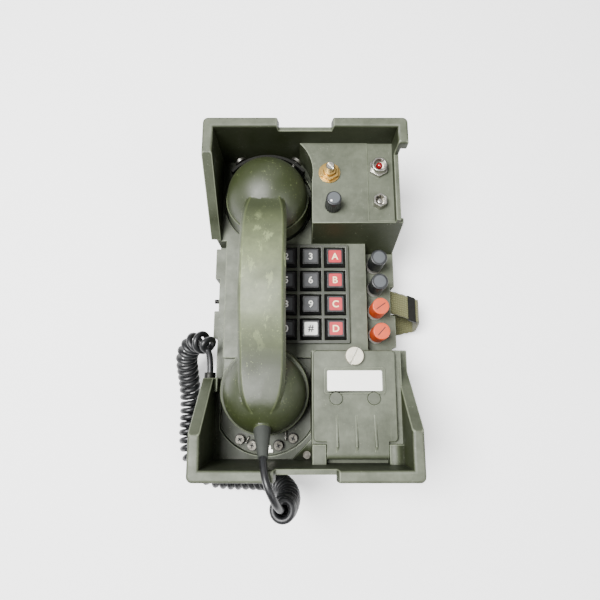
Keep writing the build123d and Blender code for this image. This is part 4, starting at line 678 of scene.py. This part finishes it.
# cradle fittings, in millimetres and degrees
GUIDE_HEADS = ((-48.01, -104.19), (-38.94, -108.51), (-19.63, -108.68), (-9.02, -103.51))
HEAD_TOP = 57.1
CROSS = (3.4, 0.9, 0.1)                 # length, width and height of each stroke of a black cross, painted shade standing for a cross recess
CROSS_TURN, CROSS_TURN_MORE = 35, 40    # of the first screw, and more for each next one
PLATE_TOP = 52.6
WASHER = (4.2, 0.5)                     # radius and height
TAB = (((-27.0, -112.6, 53.4), (6.4, 2.2, 1.8), 0.5), ((-27.0, -110.4, 52.9), (3.4, 3.0, 0.8), 0.0))
# name, start, end, radius of the coil, wire and turns of each spring
SPRINGS = (
    ("cradle_spring_right", (-14.3, -98.6, 54.4), (-14.6, -105.4, 54.4), 1.0, 0.5, 9),
    ("cradle_spring_left", (-41.6, -102.3, 54.2), (-43.8, -107.0, 54.2), 0.8, 0.45, 7),
)
SPRING_STEPS = 10                       # control points in each turn
EAR_CENTRE = (-29.0, 77.0, 68.0)        # middle of the ear cup at the height of its pins
PIN_TURNS = (57, 123)
# each pin's parts: where they start and end from the ear cup's middle, their radius and their sides
PIN_PARTS = ((39.9, 41.9, 4.7, 28), (33.1, 35.9, 1.8, 20))


def spring(name, start, end, radius, wire, turns, body):
    """A coil spring between two points."""
    way = (end - start).normalized()
    across = way.orthogonal().normalized()
    steps = SPRING_STEPS * turns
    points = []
    for index in range(steps + 1):
        angle = 2 * pi * index / SPRING_STEPS
        out = across * cos(angle) + way.cross(across) * sin(angle)
        points.append(start.lerp(end, index / steps) + out * radius)
    holder = spline_curve(name, points, wire / 2)
    holder.data.bevel_resolution = 1
    holder.data.resolution_u = 2
    piece = link(name, mesh_of(holder))
    wear(piece, "steel")
    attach(piece, body)


class TELEPHONE_OT_cradle_fittings(bpy.types.Operator):
    """Add black crosses as painted shade in the recesses of the cradle's screws, the cradle's springs and
    tab, and the heads of the ear pins
    """

    bl_idname = "telephone.cradle_fittings"
    bl_label = "Cradle fittings"

    def execute(self, context):
        # painted shade: flat black crosses on the screw heads stand in for their recesses
        bm = bmesh.new()
        for index, (x, y) in enumerate(GUIDE_HEADS):
            for turn in (0, 90):
                bar(bm, mm(x, y, HEAD_TOP), mm(*CROSS), radians(CROSS_TURN + CROSS_TURN_MORE * index + turn))
        finish_piece(bm, "screw_recess_shade", "rubber", "case", False)
        bm = bmesh.new()
        for x, y in GUIDE_HEADS:
            disc(bm, mm(x, y, PLATE_TOP), WASHER[0] * MM, WASHER[1] * MM)
        finish_piece(bm, "screw_washers", "dark_metal", "hook")
        bm = bmesh.new()
        for centre, size, corner in TAB:
            bar(bm, mm(*centre), mm(*size), corner=corner * MM)
        finish_piece(bm, "cradle_tab", "steel", "hook")
        for name, start, end, radius, wire, turns in SPRINGS:
            spring(name, mm(*start), mm(*end), radius * MM, wire * MM, turns, "hook")
        bm = bmesh.new()
        foot = mm(*EAR_CENTRE)
        for turn in PIN_TURNS:
            way = Vector((cos(radians(turn)), sin(radians(turn)), 0))
            for start, end, radius, sides in PIN_PARTS:
                rod(bm, foot + way * start * MM, foot + way * end * MM, radius * MM, sides)
        finish_piece(bm, "pin_heads", "steel", "case")
        return {"FINISHED"}


# route of the cord, in millimetres: from the boot over the rim, round the housing and back into its side
BOOT_TIP = (-26.9678, -110.8, 106.5)
BOOT_WAY = (0.0897, -0.7477, 0.658)
BOOT_STRAIGHT = 13.0        # the cord leaves the boot straight for this length
ROUTE = (
    (-20.8, -132.0, 115.2), (-16.7, -141.0, 107.5), (-15.0, -144.7, 91.0), (-13.0, -146.0, 73.0),
    (-11.5, -143.5, 54.0), (-16.0, -139.8, 36.0), (-27.5, -138.3, 19.0), (-44.0, -138.8, 10.6),
    (-63.0, -139.2, 9.7), (-81.0, -136.0, 9.9), (-92.5, -123.5, 9.7), (-96.2, -106.0, 9.9),
    (-95.5, -88.0, 9.8), (-96.0, -70.0, 12.5), (-96.5, -54.0, 22.0), (-96.0, -39.4, 36.0),
    (-83.2, -28.8, 49.2), (-70.5, -39.4, 62.5), (-70.5, -56.0, 62.5),
)
CURLS_START, CURLS_END, CURLS_RAMP = 46.0, 17.0, 4.0
FIRST_TURN_OPEN = 0.6       # how much wider the first turn's pitch is
MOST_CROWDED = 0.6          # share of the pitch that a bend may take at most
WALK_STEP = 0.5             # the route is walked in steps of this length
BEND_STEPS = 3              # steps to each side over which a bend is measured
TAIL_STEP = 3.0             # between control points where the cord isn't curled
LEAST_STEP, LAST_STEP = 0.35, 1.5   # least distance between control points, and before the last one


def follow(points, step):
    """Points along a line at an even step, with their directions."""
    even = [points[0].copy()]
    left = step
    for a, b in zip(points, points[1:]):
        run = (b - a).length
        place = 0.0
        while run - place >= left:
            place += left
            even.append(a.lerp(b, place / run))
            left = step
        left -= run - place
    even.append(points[-1].copy())
    last = len(even) - 1
    ways = [(even[min(i + 1, last)] - even[max(i - 1, 0)]).normalized() for i in range(last + 1)]
    return even, ways


class TELEPHONE_OT_curly_cord(bpy.types.Operator):
    """Lay the curly cord from the handset's boot round the housing to its gland"""

    bl_idname = "telephone.curly_cord"
    bl_label = "Curly cord"

    def execute(self, context):
        sizes = context.scene.telephone_sizes
        diameter = sizes.cord_diameter
        pitch = diameter + sizes.turn_gap
        reach = (sizes.curl_diameter - diameter) / 2
        tip, way = mm(*BOOT_TIP), Vector(BOOT_WAY).normalized()
        corners = [tip, tip + way * BOOT_STRAIGHT * MM] + [mm(*p) for p in ROUTE]
        line = mesh_of(spline_curve("cord_route", corners))
        step = WALK_STEP * MM
        places, ways = follow([v.co.copy() for v in line.vertices], step)
        bpy.data.meshes.remove(line)

        # walk the route: at each step its place, its way, a direction across it, the turn and the radius
        length = step * (len(places) - 1)
        across = ways[0].cross(Vector((0, 0, 1))).normalized()
        angle, walked = 0.0, []
        for index, (place, along) in enumerate(zip(places, ways)):
            across = (across - along * across.dot(along)).normalized()
            travel = index * step
            near = ways[max(index - BEND_STEPS, 0)]
            far = ways[min(index + BEND_STEPS, len(ways) - 1)]
            bend = near.angle(far) / (2 * BEND_STEPS * step)
            inside = min(travel - CURLS_START * MM, length - CURLS_END * MM - travel)
            swell = min(max(inside / (CURLS_RAMP * MM), 0.0), 1.0)
            walked.append((place, along, across, angle, reach * swell * swell * (3 - 2 * swell)))
            if inside >= 0:
                opened = 1 + FIRST_TURN_OPEN * max(0, 1 - inside / pitch)
                angle += 2 * pi * step * (1 - min(bend * reach, MOST_CROWDED)) / (pitch * opened)

        # control points: some millimetres apart in the tails, an even part of a turn apart in the curls,
        # and a little further out than the curl, because the cord runs inside them
        turn_step = 2 * pi / sizes.curl_steps
        further = 1 / cos(turn_step / 2)
        control, goal, tail = [places[0]], turn_step, 0.0
        for before, (place, along, across, angle, curl) in zip(walked, walked[1:]):
            while before[3] < goal <= angle:
                share = (goal - before[3]) / (angle - before[3])
                centre = before[0].lerp(place, share)
                out = across * cos(goal) + along.cross(across) * sin(goal)
                control.append(centre + out * (before[4] + (curl - before[4]) * share) * further)
                goal += turn_step
            if angle == before[3]:
                tail += step
                if tail >= TAIL_STEP * MM:
                    control.append(place)
                    tail = 0.0
        # control points that nearly touch would kink the cord, so those are left out
        kept = [control[0]]
        for point in control[1:]:
            clear_of_end = (point - places[-1]).length > LAST_STEP * MM
            if clear_of_end and (point - kept[-1]).length > LEAST_STEP * MM:
                kept.append(point)
        kept.append(places[-1])

        line = spline_curve("cord_line", kept)
        line.data.resolution_u = 2
        line = mesh_of(line)
        bpy.data.meshes.remove(line)
        cord = spline_curve("curly_cord", kept, diameter / 2)
        cord.data.bevel_resolution = 3
        cord.data.resolution_u = 2
        wear(cord, "cord_rubber")
        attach(cord, "handset")
        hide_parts("handset_cord")
        return {"FINISHED"}


# closed middle line of the webbing loop, in millimetres: inside the wall, out, round the tip and back
LOOP = (
    (64.5, 4.4, 24.0), (64.5, 4.4, 29.4), (66.0, 4.4, 30.5), (69.0, 4.4, 30.5), (75.0, 3.0, 30.6),
    (82.0, 0.8, 30.7), (88.0, -1.4, 30.6), (92.5, -3.2, 30.4), (95.0, -3.5, 28.6), (95.4, -4.6, 24.0),
    (95.4, -6.6, 18.0), (95.3, -8.2, 13.0), (94.6, -9.0, 10.2), (92.0, -9.4, 9.2), (86.0, -10.6, 9.2),
    (79.0, -12.4, 9.2), (72.0, -13.8, 9.1), (67.5, -14.0, 9.1), (65.0, -14.0, 9.6), (64.5, -12.8, 12.0),
    (64.5, -5.0, 18.0),
)
WEBBING_WIDTH = 19.0
WEBBING_COLUMNS = 8
WAVE_SIZE, WAVE_STEP = 0.18, 0.9    # sideways wave of the webbing, and its angle from row to row
SEAM_GAP = 0.2                      # the first and the last row are joined within this distance


class TELEPHONE_OT_webbing_loop(bpy.types.Operator):
    """Thread the webbing loop through the windows in the right wall"""

    bl_idname = "telephone.webbing_loop"
    bl_label = "Webbing loop"

    def execute(self, context):
        middle = spline_curve("loop_line", [mm(*p) for p in LOOP])
        middle.data.splines[0].use_cyclic_u = True
        middle.data.splines[0].use_endpoint_u = False
        middle.data.resolution_u = 8
        line = mesh_of(middle)
        points = [v.co.copy() for v in line.vertices]
        bpy.data.meshes.remove(line)
        count, width = len(points), WEBBING_WIDTH * MM
        marks = [0.0]
        for index, point in enumerate(points):
            marks.append(marks[-1] + (points[(index + 1) % count] - point).length)

        # a flat band, with one row for each point of the line, is bent along the line and joined to itself
        bm = bmesh.new()
        texture = bm.loops.layers.uv.new("webbing")
        bmesh.ops.create_grid(bm, x_segments=WEBBING_COLUMNS, y_segments=count, size=0.5, calc_uvs=True)
        for face in bm.faces:
            for loop in face.loops:
                u, v = loop[texture].uv
                loop[texture].uv = (u * width, marks[round(v * count)])
        for vert in bm.verts:
            row = round((vert.co.y + 0.5) * count)
            sideways = vert.co.x * width + WAVE_SIZE * MM * sin(WAVE_STEP * row)
            vert.co = points[row % count] + Vector((0, sideways, 0))
        bmesh.ops.remove_doubles(bm, verts=bm.verts, dist=SEAM_GAP * MM)
        piece = finish_piece(bm, "webbing_loop", "webbing", "case")
        solid = piece.modifiers.new("Thickness", "SOLIDIFY")
        solid.thickness = context.scene.telephone_sizes.webbing_thickness
        solid.offset = 0.0
        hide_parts("strap")
        return {"FINISHED"}


# the stage, in metres, watts and degrees
FLOOR_HALF, FLOOR_DROP = 2.5, 0.0002
STAGE_MIDDLE = (0, 0, 0.05)     # the lights point here
# name, place, width and power of each light
LIGHTS = (
    ("Key softbox", (-0.42, 0.0, 1.15), 0.6, 46),
    ("Fill softbox", (0.8, -0.4, 0.8), 0.8, 7),
    ("Back softbox", (0.2, 1.0, 0.8), 0.8, 3),
)
ROOM_LIGHT = 0.22
# the camera was fitted to the photograph
CAMERA_PLACE, CAMERA_TILT = (-0.00381, -0.07262, 0.40639), 11.78
LENS_MM, SENSOR_MM = 27.47, 36.0


def white_paper():
    """Matt white paper, which glows a little so that it stays pale under the soft light."""
    material, tree, shader = new_material("White paper, matt")
    shader.inputs["Base Color"].default_value = (0.95, 0.95, 0.95, 1.0)
    shader.inputs["Roughness"].default_value = 0.9
    shader.inputs["Emission Color"].default_value = (1.0, 1.0, 1.0, 1.0)
    shader.inputs["Emission Strength"].default_value = 0.7
    return material


class TELEPHONE_OT_stage(bpy.types.Operator):
    """Set the floor, the lights and the camera"""

    bl_idname = "telephone.stage"
    bl_label = "Stage"

    def execute(self, context):
        bm = bmesh.new()
        bmesh.ops.create_grid(
            bm, x_segments=1, y_segments=1, size=FLOOR_HALF, matrix=Matrix.Translation((0, 0, -FLOOR_DROP)),
        )
        mesh = bpy.data.meshes.new("floor")
        bm.to_mesh(mesh)
        bm.free()
        mesh.materials.append(white_paper())
        link("floor", mesh)
        for name, place, width, power in LIGHTS:
            light = bpy.data.lights.new(name, "AREA")
            light.shape = "DISK"
            light.size = width
            light.energy = power
            lamp = link(name, light)
            lamp.location = place
            lamp.rotation_euler = (Vector(STAGE_MIDDLE) - lamp.location).to_track_quat("-Z", "Y").to_euler()
        world = bpy.data.worlds.new("Studio")
        world.use_nodes = True
        room = world.node_tree.nodes["Background"]
        room.inputs["Color"].default_value = (1, 1, 1, 1)
        room.inputs["Strength"].default_value = ROOM_LIGHT
        context.scene.world = world
        data = bpy.data.cameras.new("Camera")
        data.lens = LENS_MM
        data.sensor_width = SENSOR_MM
        camera = link("Camera", data)
        camera.location = CAMERA_PLACE
        camera.rotation_euler = (radians(CAMERA_TILT), 0.0, 0.0)
        context.scene.camera = camera
        return {"FINISHED"}


class TELEPHONE_PT_panel(bpy.types.Panel):
    """Lists the settings and the buttons of the operators"""

    bl_idname = "TELEPHONE_PT_panel"
    bl_label = "Field telephone"
    bl_space_type = "VIEW_3D"
    bl_region_type = "UI"
    bl_category = "Telephone"

    def draw(self, context):
        layout = self.layout
        for group in (context.scene.telephone_colours, context.scene.telephone_sizes):
            for name in group.__annotations__:
                layout.prop(group, name)
        for operator in OPERATORS:
            layout.operator(operator.bl_idname)


OPERATORS = (
    TELEPHONE_OT_finishes,
    TELEPHONE_OT_rounded_castings,
    TELEPHONE_OT_key_legends,
    TELEPHONE_OT_control_trim,
    TELEPHONE_OT_cradle_fittings,
    TELEPHONE_OT_curly_cord,
    TELEPHONE_OT_webbing_loop,
    TELEPHONE_OT_stage,
)


def register():
    """Register the settings, the operators and the panel."""
    for kind in (TelephoneColours, TelephoneSizes, *OPERATORS, TELEPHONE_PT_panel):
        bpy.utils.register_class(kind)
    bpy.types.Scene.telephone_colours = PointerProperty(type=TelephoneColours)
    bpy.types.Scene.telephone_sizes = PointerProperty(type=TelephoneSizes)


def unregister():
    """Remove them again."""
    del bpy.types.Scene.telephone_sizes
    del bpy.types.Scene.telephone_colours
    for kind in (TELEPHONE_PT_panel, *reversed(OPERATORS), TelephoneSizes, TelephoneColours):
        bpy.utils.unregister_class(kind)


def main():
    """Build the whole scene."""
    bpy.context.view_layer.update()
    register()
    bpy.ops.telephone.finishes()
    bpy.ops.telephone.rounded_castings()
    bpy.ops.telephone.key_legends()
    bpy.ops.telephone.control_trim()
    bpy.ops.telephone.cradle_fittings()
    bpy.ops.telephone.curly_cord()
    bpy.ops.telephone.webbing_loop()
    bpy.ops.telephone.stage()


if __name__ == "__main__":
    main()
